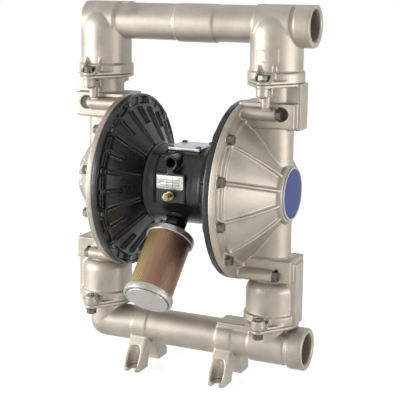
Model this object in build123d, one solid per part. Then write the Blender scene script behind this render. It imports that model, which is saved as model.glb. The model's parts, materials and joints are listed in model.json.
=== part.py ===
"""Air operated double diaphragm pump with two inch ports, in millimetres.

The shaft runs along X and the front of the pump faces -Y. Every piece is drawn
about the shaft axis and is lifted at the end, so that the feet stand on z = 0.
"""
import math
import os

from build123d import *

# Overall layout
shaft_height = 380.0        # shaft axis above the floor
column_x = 179.6            # fluid column from the middle of the pump
outlet_axis_z = 313.0       # outlet tube above the shaft axis
inlet_axis_z = -299.3       # inlet tube below the shaft axis
outlet_split_z = 209.0      # face between fluid cover and outlet manifold
inlet_split_z = -251.0      # face between fluid cover and inlet manifold
port_face_x = 254.7         # both ports end here

# Clearances
fit_gap = 0.05              # sliding fit, radial
body_gap = 0.3              # between pieces that move apart
seat_gap = 0.05             # between static pieces that are only laid in place
hole_gap = 0.4              # bolt in its clearance hole

# Rims, bolt circle and joint plane of the diaphragm chambers
joint_x = 119.1             # plane where air cover meets fluid cover
rim_r = 170.5
bolt_circle_r = 158.0
bolt_count = 12
bolt_start = 15.0           # degrees from -Y towards +Z
boss_r = 11.5
shank_r = 5.0               # M10 bolts
head_flats = 17.0
head_height = 6.5
bolt_end_x = 104.0          # bolt ends show behind the air cover

# Fluid cover
fluid_rim_t = 11.9          # rim thickness
fluid_boss_x = 133.0        # face of the rim bosses
dome_wall = 7.5
dome_rim_r = 139.0
dome_top_x = 206.0
dome_top_r = 56.0
dome_mid = (173.0, 100.0)   # point on the dome's arc, x and radius
badge_boss_x = 215.8
badge_boss_r = 54.0
badge_r = 50.7
badge_t = 2.4
badge_face_r = 46.5         # sunk face inside the badge's rim
badge_face_deep = 0.6
dome_rib_t = 5.0
dome_rib_rise = 4.0
chamber_mouth_r = 133.0     # open end of the pumping chamber

# Fluid column
neck_r = 35.0
neck_bore_r = 28.0
check_r = 49.7              # outside of the check valve chambers
check_wall = 6.0
check_top_z = -165.0        # top of the lower check chamber
check_shoulder_r = 24.0
column_bead_r = 3.0         # bead where the column meets the lower block
slab_half = 35.0
passage_half = 24.0
block_half = 38.0
block_out_x = 229.5
upper_block = (126.0, 172.0)
lower_block = (-165.0, -123.0)
web_half = 20.0
web_out_x = 235.5
upper_web_z = 122.0
lower_web_z = -131.0
tower_end_x = 196.5
tower_r = 11.5
pocket_r = 13.2
pocket_end_x = 213.0

# Flange pairs at the columns
collar_r = 53.7
collar_height = 20.0
plate_t = 6.0
inlet_plate_t = 7.0
ear_r = 13.0
ear_reach = 68.0            # flange bolt from the column axis
ear_boss_h = 16.0
gusset_t = 4.5
gusset_gap = 15.0           # gusset from the bolt, along X
gusset_height = 32.0

# Manifolds
tube_r = 35.0
tube_wall = 6.0
tee_r = 40.0
tee_half = 35.4
pad_rise = 2.2              # flat pads above the tube
leg_dome_z = 296.0
end_cap_x = -214.0
port_boss_r = 41.0
port_boss_len = 30.0
port_r = 30.0
port_depth = 28.0
port_chamfer = 2.0
saddle = (-17.0, 62.0)      # raised band on the outlet tube, from and to in x
saddle_r = 37.4
step_pad = (-141.0, -121.0)
inlet_pad = (76.0, 150.0)
inlet_pad_half = 25.0
label_w = 40.0              # bare raised panel on the outlet leg
label_h = 23.0
label_z = 260.0
label_edge = 1.8            # width and height of the panel's raised border
label_rise = 0.9

# Feet
foot_x = 92.0
foot_w = 36.0
foot_reach = 66.0           # front edge of the foot from the tube axis
foot_pad_t = 9.0
foot_slot_r = 6.75
foot_seat_r = 12.0
foot_bolt_y = 52.0
band_w = 30.0
band_rise = 1.6

# Check valves
ball_r = 31.75
ball_lift = 12.0
seat_t = 10.0
seat_bore_r = 23.0
seat_lip_r = 28.0           # where the ball's pocket meets the top of the seat
seat_ring_d = 3.2           # section of the seat's O-ring
cage_t = 8.0
cage_gap = 0.8
cage_bar = 9.0              # height of the cage over the ball

# Air side
body_r = 75.5
body_half = 61.0
body_ring_r = 77.3
body_ring_w = 2.4
air_rim_t = 11.7
air_hub_r = 80.0
air_wall_x = 69.0           # inside face of the hub wall
air_cone_out = (63.0, 103.0, 147.0)   # cone from x, to x, radius at the rim
air_cone_in_r = 77.0
air_cone_in_x = 108.0
channel_r = (151.0, 165.0)
channel_floor_x = 111.5
channel_lip_x = 105.0
air_rib_t = 6.0
air_rib_rise = 4.5
short_rib_r = 119.0
hub_screw_circle = 66.0
hub_screw_count = 6
hub_screw_r = 4.0
hub_screw_head_h = 4.5
hub_screw_flats = 13.0
hub_bore_r = 20.0

# Shaft, plates and diaphragms
shaft_r = 12.5
shaft_half = 90.0
stroke = 23.0               # each way from the middle
bush_r = 16.0
bush_len = 14.0
seal_len = 2.4
plate_hub_r = 18.0
air_plate_r = 88.0
air_plate_x = (94.0, 104.0)   # inner flat and edge of the cone
air_plate_flat_r = 45.0
fluid_plate_r = 86.0
fluid_plate_edge = 4.0
fluid_plate_nose = 22.0
stud_r = 8.0
clamp_t = 4.0               # diaphragm between its plates
clamp_x = 117.0
bead_r = 151.0
bead_t = 3.0
roll_rise = 12.0            # diaphragm's roll towards the fluid

# Pilot pins
pin_r = 4.0
pin_circle = 52.0
pin_angle = -90.0           # the pins sit straight below the shaft
pin_travel = 3.0
pin_tip_gap = 0.4           # plate to pin at the end of the stroke
pin_len = 34.0
pin_bush_r = 7.0
pin_head_r = 5.6
pin_head_len = 4.0

# Air valve
valve_top_z = 70.0
valve_x = 8.0               # the valve sits a little to the right
valve_pad = (36.0, 38.0)    # half width and half depth of the flat
valve_room = (28.0, 20.0)   # half width and half depth of the chest
valve_floor_z = 34.0
valve_corner_r = 5.0
gasket_t = 1.5
cover_t = 5.5
valve_plate_t = 6.0
spool_r = 11.0
spool_half = 20.0
spool_travel = 7.0
cup_half = 10.0
screw_r = 3.0
screw_inset = 7.0
screw_head_r = 5.4
screw_head_h = 3.2
screw_socket_r = 2.3

# Inlet boss, name plate, earth screw
air_inlet_z = 53.0
air_inlet_y = -79.0
air_inlet_r = 14.8
air_inlet_bore_r = 10.7
air_inlet_depth = 22.0
plate_pad = (31.0, -24.0, 33.0)       # half width, bottom and top
pad_face_y = -79.0
front_saddle = (-35.5, 39.5, -29.0, 60.0)   # raised panel round the front, x and z
saddle_rise = 1.0
neck_half = 7.0             # web between the air inlet boss and the pad
name_plate = (28.0, 13.0, 1.0)        # half width, half height, thickness
name_plate_z = 16.0
rivet_r = 1.8
rivet_head_r = 2.9
rivet_head_h = 1.2
rivet_inset = 4.5
earth_z = -9.5
earth_shank_r = 3.0
earth_head_r = 6.6
earth_reach = 15.0
earth_head_h = 5.0
earth_slot = (1.6, 2.0)     # width and depth
earth_washer_r = 8.4
earth_washer_t = 1.8

# Exhaust and muffler, along a line 45 degrees down and forward
exhaust_y = -44.0
exhaust_z = -60.0
exhaust_boss_r = 21.0
exhaust_boss_len = 7.0
exhaust_bore_r = 13.0
nipple_r = 16.0
nipple_hex = 40.0
nipple_hex_len = 12.0
nipple_len = 40.0
muffler_len = 144.0
muffler_cap_r = 47.0
muffler_cap_len = 13.0
cap_step = 3.0              # raised disc of the bottom cap
cap_disc_r = 40.5
muffler_tube_r = 42.5
muffler_tube_t = 2.0
muffler_core_t = 6.0
muffler_bore_r = 12.0

MID = Align.CENTER
LOW = Align.MIN


def bar_x(x0, x1, r, y=0.0, z=0.0):
    """Round bar along X."""
    return Pos(x0, y, z) * Rot(0, 90, 0) * Cylinder(r, x1 - x0, align=(MID, MID, LOW))


def bar_y(y0, y1, r, x=0.0, z=0.0):
    """Round bar along Y."""
    return Pos(x, y0, z) * Rot(-90, 0, 0) * Cylinder(r, y1 - y0, align=(MID, MID, LOW))


def bar_z(z0, z1, r, x=0.0, y=0.0):
    """Round bar along Z."""
    return Pos(x, y, z0) * Cylinder(r, z1 - z0, align=(MID, MID, LOW))


def block(x0, x1, y0, y1, z0, z1):
    """Box between two corners."""
    middle = Pos((x0 + x1) / 2, (y0 + y1) / 2, (z0 + z1) / 2)
    return middle * Box(x1 - x0, y1 - y0, z1 - z0)


def ring_z(z0, z1, r_in, r_out, x=0.0, y=0.0):
    """Flat ring about a vertical axis."""
    return bar_z(z0, z1, r_out, x, y) - bar_z(z0 - 1, z1 + 1, r_in, x, y)


def turned_x(*points):
    """Solid turned about the X axis from points of x and radius."""
    return revolve(make_face(Polyline(*points, close=True)), axis=Axis.X)


def turned_line(line):
    """Solid turned about the X axis from a closed line of edges."""
    return revolve(make_face(line), axis=Axis.X)


def one_solid(shape):
    """The largest solid of a shape whose slivers don't count."""
    return max(shape.solids(), key=lambda solid: solid.volume)


def polar(radius, degrees):
    """Y and Z of a point on a circle about the shaft, from -Y towards +Z."""
    angle = math.radians(degrees)
    return -radius * math.cos(angle), radius * math.sin(angle)


def bolt_angles():
    """All bolt positions of a rim."""
    return [bolt_start + 360.0 / bolt_count * i for i in range(bolt_count)]


def is_tower(degrees):
    """The four bolts nearest to the column go through long towers."""
    return abs(math.sin(math.radians(degrees))) > 0.9


def radial_plate(x0, x1, r0, r1, thickness, degrees):
    """Flat plate that stands out from the shaft axis."""
    plate = block(x0, x1, -r1, -r0, -thickness / 2, thickness / 2)
    return Rot(-degrees, 0, 0) * plate


def hex_bolt(length, radius, flats, height):
    """Bolt with its head from z = 0 up and its shank below."""
    corner_r = flats / math.sqrt(3)
    face_r = flats / 2
    head = extrude(RegularPolygon(corner_r, 6), amount=height)
    top = Cone(face_r + height, face_r, height, align=(MID, MID, LOW))
    shank = bar_z(-length, 0.01, radius)
    tip = chamfer(shank.edges().sort_by(Axis.Z)[0], radius * 0.25)
    return (head & top) + tip


def ear_face(r_main):
    """Flange outline: a circle with two ears joined by straight tangents."""
    outline = Circle(r_main)
    reach = math.acos((r_main - ear_r) / ear_reach)
    for side in (-1, 1):
        corners = []
        for sign in (-1, 1):
            dx = sign * math.sin(reach)
            dy = side * math.cos(reach)
            corners.append((r_main * dx, r_main * dy))
            corners.append((ear_r * dx, side * ear_reach + ear_r * dy))
        a, b, c, d = corners
        outline += make_face(Polyline(a, b, d, c, close=True))
        outline += Pos(0, side * ear_reach) * Circle(ear_r)
    return outline


def ear_plate(z0, z1, x):
    """Flange plate with two ears, front and rear of a column."""
    return Pos(x, 0, z0) * extrude(ear_face(collar_r), amount=z1 - z0)


def ear_spots(x):
    """Bolt centres of one flange pair."""
    return [(x, -ear_reach), (x, ear_reach)]


def gussets(x, low_z, wall_r, height):
    """Triangular ribs on both sides of each ear, up against a round wall."""
    ribs = []
    for bolt_x, y in ear_spots(x):
        out = math.copysign(1, y)
        wall_y = out * (wall_r - 6)
        side = Polyline((y + out * 8, low_z - 1), (wall_y, low_z - 1), (wall_y, low_z + height),
                        close=True)
        for dx in (-gusset_gap, gusset_gap):
            rib = extrude(Plane.YZ * make_face(side), amount=gusset_t / 2, both=True)
            ribs.append(Pos(bolt_x + dx, 0, 0) * rib)
    return ribs


def ball_room(z_rest, x):
    """Space that a ball needs from its seat to the top of its lift."""
    lane = bar_z(z_rest, z_rest + ball_lift, ball_r + cage_gap, x)
    top = Pos(x, 0, z_rest + ball_lift) * Sphere(ball_r + cage_gap)
    return lane + top


def ball_rest_z(seat_top):
    """Centre of a seated ball above the top of its seat."""
    reach = ball_r + body_gap
    return seat_top + math.sqrt(reach ** 2 - seat_lip_r ** 2)


def cage(z0, z1, r_out, x):
    """Crossed guide ribs, clear of the ball."""
    tall = z1 - z0
    cross = Box(2 * r_out, cage_t, tall) + Box(cage_t, 2 * r_out, tall)
    ribs = Pos(x, 0, (z0 + z1) / 2) * cross
    ribs -= ball_room(ball_rest_z(z0), x)
    return ribs - bar_z(z0 - 1, ball_rest_z(z0) + 0.01, ball_r + cage_gap, x)


inlet_seat_top = inlet_split_z + seat_t
outlet_seat_top = outlet_split_z + seat_t
inlet_ball_z = ball_rest_z(inlet_seat_top)
outlet_ball_z = ball_rest_z(outlet_seat_top)
check_bore_r = check_r - check_wall
dome_face_x = joint_x + fluid_rim_t


def dome_outline(grow):
    """Dome profile, moved out by grow, down to the shaft axis."""
    start = (joint_x + 1, dome_rim_r + grow)
    foot = (joint_x + fluid_rim_t + 3, dome_rim_r + grow)
    mid = (dome_mid[0] + 0.72 * grow, dome_mid[1] + 0.69 * grow)
    top = (dome_top_x + 0.9 * grow, dome_top_r + 0.44 * grow)
    nose = (dome_top_x + 0.9 * grow, 0)
    sides = Polyline(nose, (start[0], 0), start, foot)
    return sides + ThreePointArc(foot, mid, top) + Line(top, nose)


def fluid_cover():
    """Cast cover of the right chamber with its fluid column."""
    lip = 2.0
    rim = turned_x((joint_x, 0), (joint_x, rim_r), (dome_face_x - 0.5, rim_r),
                   (dome_face_x + 0.8, rim_r - 1.3), (dome_face_x + 0.8, rim_r - lip - 2),
                   (dome_face_x - lip, rim_r - lip - 4), (dome_face_x - lip, dome_rim_r + 9),
                   (dome_face_x + 5, dome_rim_r + 6), (dome_face_x + 5, dome_rim_r + 1),
                   (dome_face_x + 3, dome_rim_r - 2), (dome_face_x + 3, 0))
    dome = turned_line(dome_outline(0))
    boss = turned_x((joint_x + 1, 0), (joint_x + 1, badge_boss_r + 3),
                    (badge_boss_x - 5, badge_boss_r + 3), (badge_boss_x, badge_boss_r),
                    (badge_boss_x, 0))
    ribs = turned_line(dome_outline(dome_rib_rise))
    fins = [radial_plate(dome_face_x, badge_boss_x, badge_boss_r - 4, dome_rim_r + 5,
                         dome_rib_t, angle)
            for angle in bolt_angles() if not is_tower(angle)]
    body = rim + dome + boss + (ribs & (fins[0] + fins[1:]))

    column = bar_z(check_top_z - 4, outlet_split_z, neck_r, column_x)
    slab = block(joint_x + 2, column_x, -slab_half, slab_half,
                 lower_block[0] + 2, upper_block[1] - 2)
    body += column + slab
    for low, high in (upper_block, lower_block):
        beam = block(joint_x + 2, block_out_x, -block_half, block_half, low, high)
        body += fillet(beam.edges().filter_by(Axis.Z), 3.0)
    body += block(column_x, web_out_x, -web_half, web_half, upper_web_z, outlet_split_z - 1)
    body += block(column_x, web_out_x, -web_half, web_half, inlet_split_z + 1, lower_web_z)

    body += Pos(column_x, 0, lower_block[1]) * Torus(neck_r + 0.5, column_bead_r)

    chamber = bar_z(inlet_split_z, check_top_z, check_r, column_x)
    body += fillet(chamber.edges().sort_by(Axis.Z)[-1], check_shoulder_r)
    collar = bar_z(inlet_split_z, inlet_split_z + collar_height, collar_r, column_x)
    body += chamfer(collar.edges().sort_by(Axis.Z)[-1], 1.5)
    body += ear_plate(inlet_split_z, inlet_split_z + plate_t, column_x)
    body += ear_plate(outlet_split_z - plate_t, outlet_split_z, column_x)
    body += gussets(column_x, inlet_split_z + plate_t, collar_r, collar_height - plate_t - 1)
    for x, y in ear_spots(column_x):
        inner = y - math.copysign(ear_reach - neck_r + 4, y)
        ends = sorted((inner, y))
        body += bar_z(inlet_split_z, inlet_split_z + ear_boss_h + 3, ear_r, x, y)
        body += bar_z(outlet_split_z - ear_boss_h - plate_t, outlet_split_z, ear_r - 1, x, y)
        body += block(x - 5, x + 5, *ends, outlet_split_z - ear_boss_h - 8, outlet_split_z - 2)
        lug = Cone(7.5, 11.0, 34.0, align=(MID, MID, LOW))
        body += Pos(x, y - math.copysign(16, y), upper_block[1] - 8) * lug

    for angle in bolt_angles():
        y, z = polar(bolt_circle_r, angle)
        end = tower_end_x if is_tower(angle) else fluid_boss_x
        body += bar_x(joint_x + 3, end, tower_r if is_tower(angle) else boss_r, y, z)

    mouth_x = joint_x + bead_t + 2 * body_gap
    cavity_mid = (dome_mid[0] - 0.72 * dome_wall, dome_mid[1] - 0.69 * dome_wall)
    cavity_top = (dome_top_x - 0.9 * dome_wall, dome_top_r - 0.8 * dome_wall)
    mouth = (mouth_x, chamber_mouth_r)
    cavity = Polyline((cavity_top[0], 0), (mouth_x - 1, 0), (mouth_x - 1, chamber_mouth_r), mouth)
    cavity += ThreePointArc(mouth, cavity_mid, cavity_top)
    cavity += Line(cavity_top, (cavity_top[0], 0))
    body -= turned_line(cavity)
    body -= bar_x(joint_x - 1, mouth_x, bead_r + body_gap)

    cage_top = inlet_ball_z + ball_lift + ball_r + cage_bar
    roof = inlet_ball_z + ball_lift + ball_r + 1
    room = bar_z(inlet_split_z - 1, roof, check_bore_r, column_x)
    hollow = fillet(room.edges().sort_by(Axis.Z)[-1], check_shoulder_r - check_wall)
    hollow += bar_z(roof - 20, -dome_top_r - 6, neck_bore_r, column_x)
    hollow += bar_z(dome_top_r + 6, outlet_split_z + 1, neck_bore_r, column_x)
    for low, high in ((lower_block[0] + 12, -dome_top_r - 10), (dome_top_r + 10, 150.0)):
        hollow += block(dome_face_x + 7, column_x, -passage_half, passage_half, low, high)
    body -= hollow
    body += cage(inlet_seat_top + seat_gap, cage_top, check_bore_r + 1, column_x) & (
        bar_z(inlet_split_z, roof, check_bore_r + 1, column_x)
        + bar_z(roof - 1, cage_top, neck_bore_r + 1, column_x))

    for angle in bolt_angles():
        y, z = polar(bolt_circle_r, angle)
        if is_tower(angle):
            body -= bar_x(tower_end_x, pocket_end_x - 8, pocket_r, y, z)
            if z > 0:
                body -= Pos(pocket_end_x - 8, y, z) * Sphere(pocket_r)
        body -= bar_x(joint_x - 1, tower_end_x + 1, shank_r + hole_gap, y, z)
    for x, y in ear_spots(column_x):
        body -= bar_z(inlet_split_z - 1, inlet_split_z + 40, shank_r + hole_gap, x, y)
        body -= bar_z(outlet_split_z - ear_boss_h - plate_t - 8, outlet_split_z + 1,
                      shank_r + hole_gap, x, y)
    return one_solid(body)


def port_boss(axis_z):
    """Outside of a port: a flare, a round boss and a flat on top."""
    start = column_x + tee_half
    boss_x = port_face_x - port_boss_len
    shape = turned_x((start - 2, 0), (start - 2, tube_r), (start + 2, tube_r), (boss_x, port_boss_r),
                     (port_face_x - 2, port_boss_r), (port_face_x, port_boss_r - 2),
                     (port_face_x, 0))
    top = block(start - 6, port_face_x + 1, -port_boss_r, port_boss_r,
                tube_r + pad_rise, port_boss_r + 1)
    pad_w = math.sqrt(port_boss_r ** 2 - (tube_r + pad_rise) ** 2)
    pad = block(start - 2, port_face_x - 2, -pad_w, pad_w, 0, tube_r + pad_rise)
    return Pos(0, 0, axis_z) * (shape - top + pad)


def port_bore(axis_z, low_x):
    """Inside of a manifold tube with its threaded port."""
    bore_r = tube_r - tube_wall
    shape = bar_x(low_x, port_face_x - 5, bore_r)
    shape += turned_x((port_face_x - port_depth, 0), (port_face_x - port_depth, port_r),
                      (port_face_x - port_chamfer, port_r),
                      (port_face_x, port_r + port_chamfer), (port_face_x + 1, port_r + port_chamfer),
                      (port_face_x + 1, 0))
    return Pos(0, 0, axis_z) * shape


def flat_band(x0, x1, radius, top):
    """Round band with a flat on top."""
    band = bar_x(x0, x1, radius)
    return band - block(x0 - 1, x1 + 1, -radius, radius, top, radius + 1)


def outlet_manifold():
    """Upper manifold with two legs that hold the outlet check valves."""
    flat = tube_r + pad_rise
    tube = bar_x(end_cap_x, column_x + tee_half, tube_r)
    tees = flat_band(-column_x - tee_half, -column_x + tee_half, tee_r, flat)
    tees += flat_band(column_x - tee_half, column_x + tee_half, tee_r, flat)
    tees += flat_band(saddle[0], saddle[1], saddle_r, tube_r + 0.6)
    tees += block(step_pad[0], step_pad[1], -12, 12, 0, flat)
    body = Pos(0, 0, outlet_axis_z) * (tube + tees) + port_boss(outlet_axis_z)
    for x in (-column_x, column_x):
        leg = bar_z(outlet_split_z, leg_dome_z, check_r, x)
        leg += Pos(x, 0, leg_dome_z) * Sphere(check_r)
        leg &= block(x - 60, x + 60, -60, 60, outlet_split_z, outlet_axis_z + tube_r - 2)
        collar = bar_z(outlet_split_z, outlet_split_z + collar_height, collar_r, x)
        body += leg + chamfer(collar.edges().sort_by(Axis.Z)[-1], 1.5)
        body += ear_plate(outlet_split_z, outlet_split_z + plate_t, x)
        body += gussets(x, outlet_split_z + plate_t, check_r, gusset_height)
    edge = label_edge
    panel = block(-label_w / 2, label_w / 2, -check_r - 2, -check_r + 12,
                  label_z - label_h / 2, label_z + label_h / 2)
    panel -= block(edge - label_w / 2, label_w / 2 - edge, -check_r - 3, -check_r + 13,
                   label_z - label_h / 2 + edge, label_z + label_h / 2 - edge)
    body += Pos(column_x, 0, 0) * (panel & bar_z(200, 300, check_r + label_rise))

    body -= port_bore(outlet_axis_z, end_cap_x + tube_wall + 3)
    for x in (-column_x, column_x):
        top_r = check_r - check_wall
        room = bar_z(outlet_split_z - 1, leg_dome_z, top_r, x) + Pos(x, 0, leg_dome_z) * Sphere(top_r)
        cage_top = outlet_ball_z + ball_lift + ball_r + cage_bar
        body -= room
        body += cage(outlet_seat_top + seat_gap, cage_top, top_r + 1, x) & (
            bar_z(outlet_split_z, leg_dome_z, top_r + 1, x))
        for bolt_x, y in ear_spots(x):
            body -= bar_z(outlet_split_z - 1, outlet_split_z + plate_t + 1,
                          shank_r + hole_gap, bolt_x, y)
    return one_solid(body)


def foot(side_x, side_y):
    """Foot under the inlet manifold with a bolt seat and an open slot."""
    floor = -shaft_height
    tube_low = inlet_axis_z - tube_r
    out = side_y
    profile = Polyline((out * 10, tube_low + 8), (out * 33, tube_low + 19),
                       (out * foot_reach, floor + foot_pad_t), (out * foot_reach, floor),
                       (out * 24, floor), (out * 24, floor + foot_pad_t),
                       (out * 10, tube_low - 6), close=True)
    shape = extrude(Plane.YZ * make_face(profile), amount=foot_w / 2, both=True)
    shape = Pos(side_x * foot_x, 0, 0) * shape
    upright = shape.edges().filter_by(Axis.Z).sort_by(Axis.Y)
    front = upright[:2] if out < 0 else upright[-2:]
    shape = chamfer(front, 5.0)
    x = side_x * foot_x
    y = out * foot_bolt_y
    shape -= bar_z(floor + foot_pad_t, tube_low + 2, foot_seat_r, x, y)
    ends = sorted((y, out * (foot_reach + 5)))
    shape -= block(x - foot_seat_r, x + foot_seat_r, *ends, floor + foot_pad_t, tube_low + 2)
    shape -= bar_z(floor - 1, floor + foot_pad_t + 1, foot_slot_r, x, y)
    shape -= block(x - foot_slot_r, x + foot_slot_r, *ends, floor - 1, floor + foot_pad_t + 1)
    return shape


def inlet_manifold():
    """Lower manifold with elbow, tee, port and four feet."""
    flat = tube_r + pad_rise
    tube = bar_x(-column_x, column_x + tee_half, tube_r) + Pos(-column_x, 0, 0) * Sphere(tube_r)
    tube += flat_band(column_x - tee_half, column_x + tee_half, tube_r + 2, flat)
    tube += block(inlet_pad[0], inlet_pad[1], -inlet_pad_half, inlet_pad_half, 0, flat)
    for side in (-1, 1):
        middle = side * foot_x
        tube += bar_x(middle - band_w / 2, middle + band_w / 2, tube_r + band_rise)
    body = Pos(0, 0, inlet_axis_z) * tube + port_boss(inlet_axis_z)
    for x in (-column_x, column_x):
        body += bar_z(inlet_axis_z, inlet_split_z, tube_r, x)
        body += ear_plate(inlet_split_z - inlet_plate_t, inlet_split_z, x)
    for side_x in (-1, 1):
        for side_y in (-1, 1):
            body += foot(side_x, side_y)
    bore_r = tube_r - tube_wall
    body -= port_bore(inlet_axis_z, -column_x)
    body -= Pos(-column_x, 0, inlet_axis_z) * Sphere(bore_r)
    for x in (-column_x, column_x):
        body -= bar_z(inlet_axis_z, inlet_split_z + 1, bore_r, x)
        for bolt_x, y in ear_spots(x):
            body -= bar_z(inlet_split_z - inlet_plate_t - 1, inlet_split_z + 1,
                          shank_r + hole_gap, bolt_x, y)
    return one_solid(body)


def air_shell(grow):
    """Outside of the air cover's cone, moved out by grow, as a solid."""
    x0, x1, r1 = air_cone_out
    return turned_x((x0 - grow, 0), (x0 - grow, air_hub_r), (x1 - grow, r1),
                    (joint_x - 2, r1), (joint_x - 2, 0))


def air_cover():
    """Black cover behind the right diaphragm."""
    x0, x1, r1 = air_cone_out
    lip_x = joint_x - air_rim_t
    rim = turned_x((joint_x, 0), (joint_x, rim_r), (lip_x + 1, rim_r), (lip_x, rim_r - 1),
                   (lip_x, channel_r[1]), (channel_floor_x, channel_r[1]),
                   (channel_floor_x, channel_r[0]), (channel_lip_x, channel_r[0]),
                   (channel_lip_x, r1 - 2), (x1, r1 - 6), (x0, air_hub_r), (body_half, air_hub_r - 2),
                   (body_half, 0))
    fins = []
    for angle in bolt_angles():
        fins.append(radial_plate(body_half, joint_x - 4, air_hub_r - 6, channel_r[0] - 1,
                                 air_rib_t, angle))
        half_step = angle + 180.0 / bolt_count
        fins.append(radial_plate(body_half, joint_x - 4, short_rib_r, channel_r[0] - 1,
                                 air_rib_t, half_step))
        y, z = polar(short_rib_r, half_step)
        fins.append(bar_x(body_half, joint_x - 4, air_rib_t / 2, y, z))
    body = rim + (air_shell(air_rib_rise) & (fins[0] + fins[1:]))
    for angle in bolt_angles():
        y, z = polar(bolt_circle_r, angle)
        body += bar_x(bolt_end_x + 1.5, joint_x - 1, boss_r, y, z) & turned_x(
            (0, 0), (0, rim_r), (joint_x, rim_r), (joint_x, 0))
        body += radial_plate(lip_x + 1, joint_x - 1, channel_r[0] - 1, channel_r[1] + 1,
                             4.0, angle + 180.0 / bolt_count)

    body -= turned_x((air_wall_x, 0), (air_wall_x, air_cone_in_r),
                     (air_cone_in_x, chamber_mouth_r), (joint_x + 1, chamber_mouth_r),
                     (joint_x + 1, 0))
    body -= bar_x(body_half - 1, air_wall_x + 1, hub_bore_r)
    for angle in bolt_angles():
        y, z = polar(bolt_circle_r, angle)
        body -= bar_x(bolt_end_x - 1, joint_x + 1, shank_r + hole_gap, y, z)
    for i in range(hub_screw_count):
        y, z = polar(hub_screw_circle, 360.0 / hub_screw_count * i)
        body -= bar_x(body_half - 1, air_wall_x + 1, hub_screw_r + hole_gap, y, z)
    y, z = polar(pin_circle, pin_angle)
    body -= bar_x(body_half - 1, air_wall_x + 1, pin_bush_r + hole_gap, y, z)
    return one_solid(body)


def exhaust_frame(distance):
    """Place along the exhaust line, with +Z down the line."""
    step = distance * math.sqrt(0.5)
    return Pos(0, exhaust_y - step, exhaust_z - step) * Rot(135, 0, 0)


def along_exhaust(start, end, radius):
    """Round bar on the exhaust line."""
    return exhaust_frame(start) * Cylinder(radius, end - start, align=(MID, MID, LOW))


def centre_housing():
    """Air motor body between the covers."""
    body = bar_x(-body_half, body_half, body_r)
    for side in (-1, 1):
        edge = sorted((side * body_half, side * (body_half - body_ring_w)))
        body += bar_x(edge[0], edge[1], body_ring_r)
    body += valve_slab(valve_pad, valve_floor_z, valve_top_z, valve_corner_r)
    body -= valve_slab(valve_pad, valve_top_z, body_r + 1, valve_corner_r)
    x0, x1, z0, z1 = front_saddle
    saddle_band = bar_x(x0, x1, body_r + saddle_rise) - bar_x(x0 - 1, x1 + 1, body_r - 3)
    body += saddle_band & block(x0 - 1, x1 + 1, -body_r - 5, -20, z0, z1)
    body += block(-neck_half, neck_half, pad_face_y, -60, 20, air_inlet_z)
    pad_half, pad_low, pad_high = plate_pad
    pad = block(-pad_half, pad_half, pad_face_y, -50, pad_low, pad_high)
    body += fillet(pad.edges().filter_by(Axis.Y), 5.0)
    body += bar_y(air_inlet_y, -20, air_inlet_r, 0, air_inlet_z)
    body += along_exhaust(-30, exhaust_boss_len, exhaust_boss_r)

    body -= valve_slab(valve_room, valve_floor_z, valve_top_z + 1, valve_corner_r)
    body -= bar_y(air_inlet_y - 1, air_inlet_y + air_inlet_depth, air_inlet_bore_r, 0, air_inlet_z)
    body -= bar_y(air_inlet_y, 1 - valve_room[1], air_inlet_bore_r - 3, 0, air_inlet_z)
    body -= along_exhaust(-40, exhaust_boss_len + 1, exhaust_bore_r)
    body -= along_exhaust(-14, exhaust_boss_len + 1, nipple_r + seat_gap)
    body -= bar_x(-body_half - 1, body_half + 1, shaft_r + 2.5)
    for side in (-1, 1):
        span = sorted((side * (body_half + 1), side * (body_half - bush_len - seal_len)))
        body -= bar_x(span[0], span[1], bush_r + seat_gap)
        y, z = polar(pin_circle, pin_angle)
        span = sorted((side * (body_half + 1), side * (body_half - pin_len + 2)))
        body -= bar_x(span[0], span[1], pin_bush_r + seat_gap, y, z)
        for i in range(hub_screw_count):
            y, z = polar(hub_screw_circle, 360.0 / hub_screw_count * i)
            span = sorted((side * (body_half + 1), side * (body_half - 14)))
            body -= bar_x(span[0], span[1], hub_screw_r + seat_gap, y, z)
    for x, y in valve_screw_spots():
        body -= bar_z(valve_top_z - 12, valve_top_z + 1, screw_r + seat_gap, x, y)
    body -= bar_y(pad_face_y - 1, pad_face_y + 12, earth_shank_r + seat_gap, 0, earth_z)
    for x in rivet_spots():
        body -= bar_y(pad_face_y - 1, pad_face_y + 6, rivet_r + seat_gap, x, name_plate_z)
    return one_solid(body)


def valve_slab(size, z0, z1, corner_r):
    """Upright block on the valve's centre line with round corners."""
    half_w, half_d = size
    slab = block(valve_x - half_w, valve_x + half_w, -half_d, half_d, z0, z1)
    return fillet(slab.edges().filter_by(Axis.Z), corner_r)


def valve_screw_spots():
    """Screws at the corners of the valve cover."""
    half_w, half_d = valve_pad
    return [(valve_x + sx * (half_w - screw_inset), sy * (half_d - screw_inset))
            for sx in (-1, 1) for sy in (-1, 1)]


def rivet_spots():
    """Two rivets at the ends of the name plate."""
    return [rivet_inset - name_plate[0], name_plate[0] - rivet_inset]


def valve_cover():
    """Flat cover over the air valve."""
    low = valve_top_z + gasket_t
    plate = valve_slab(valve_pad, low, low + cover_t, valve_corner_r)
    plate = chamfer(plate.faces().sort_by(Axis.Z)[-1].edges(), 0.8)
    for x, y in valve_screw_spots():
        plate -= bar_z(low - 1, low + cover_t + 1, screw_r + hole_gap, x, y)
    return one_solid(plate)


def valve_gasket():
    """Gasket under the valve cover, open over the chest."""
    sheet = valve_slab(valve_pad, valve_top_z, valve_top_z + gasket_t, valve_corner_r)
    sheet -= valve_slab(valve_room, valve_top_z - 1, valve_top_z + 5, valve_corner_r)
    for x, y in valve_screw_spots():
        sheet -= bar_z(valve_top_z - 1, valve_top_z + 5, screw_r + hole_gap, x, y)
    return one_solid(sheet)


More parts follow.
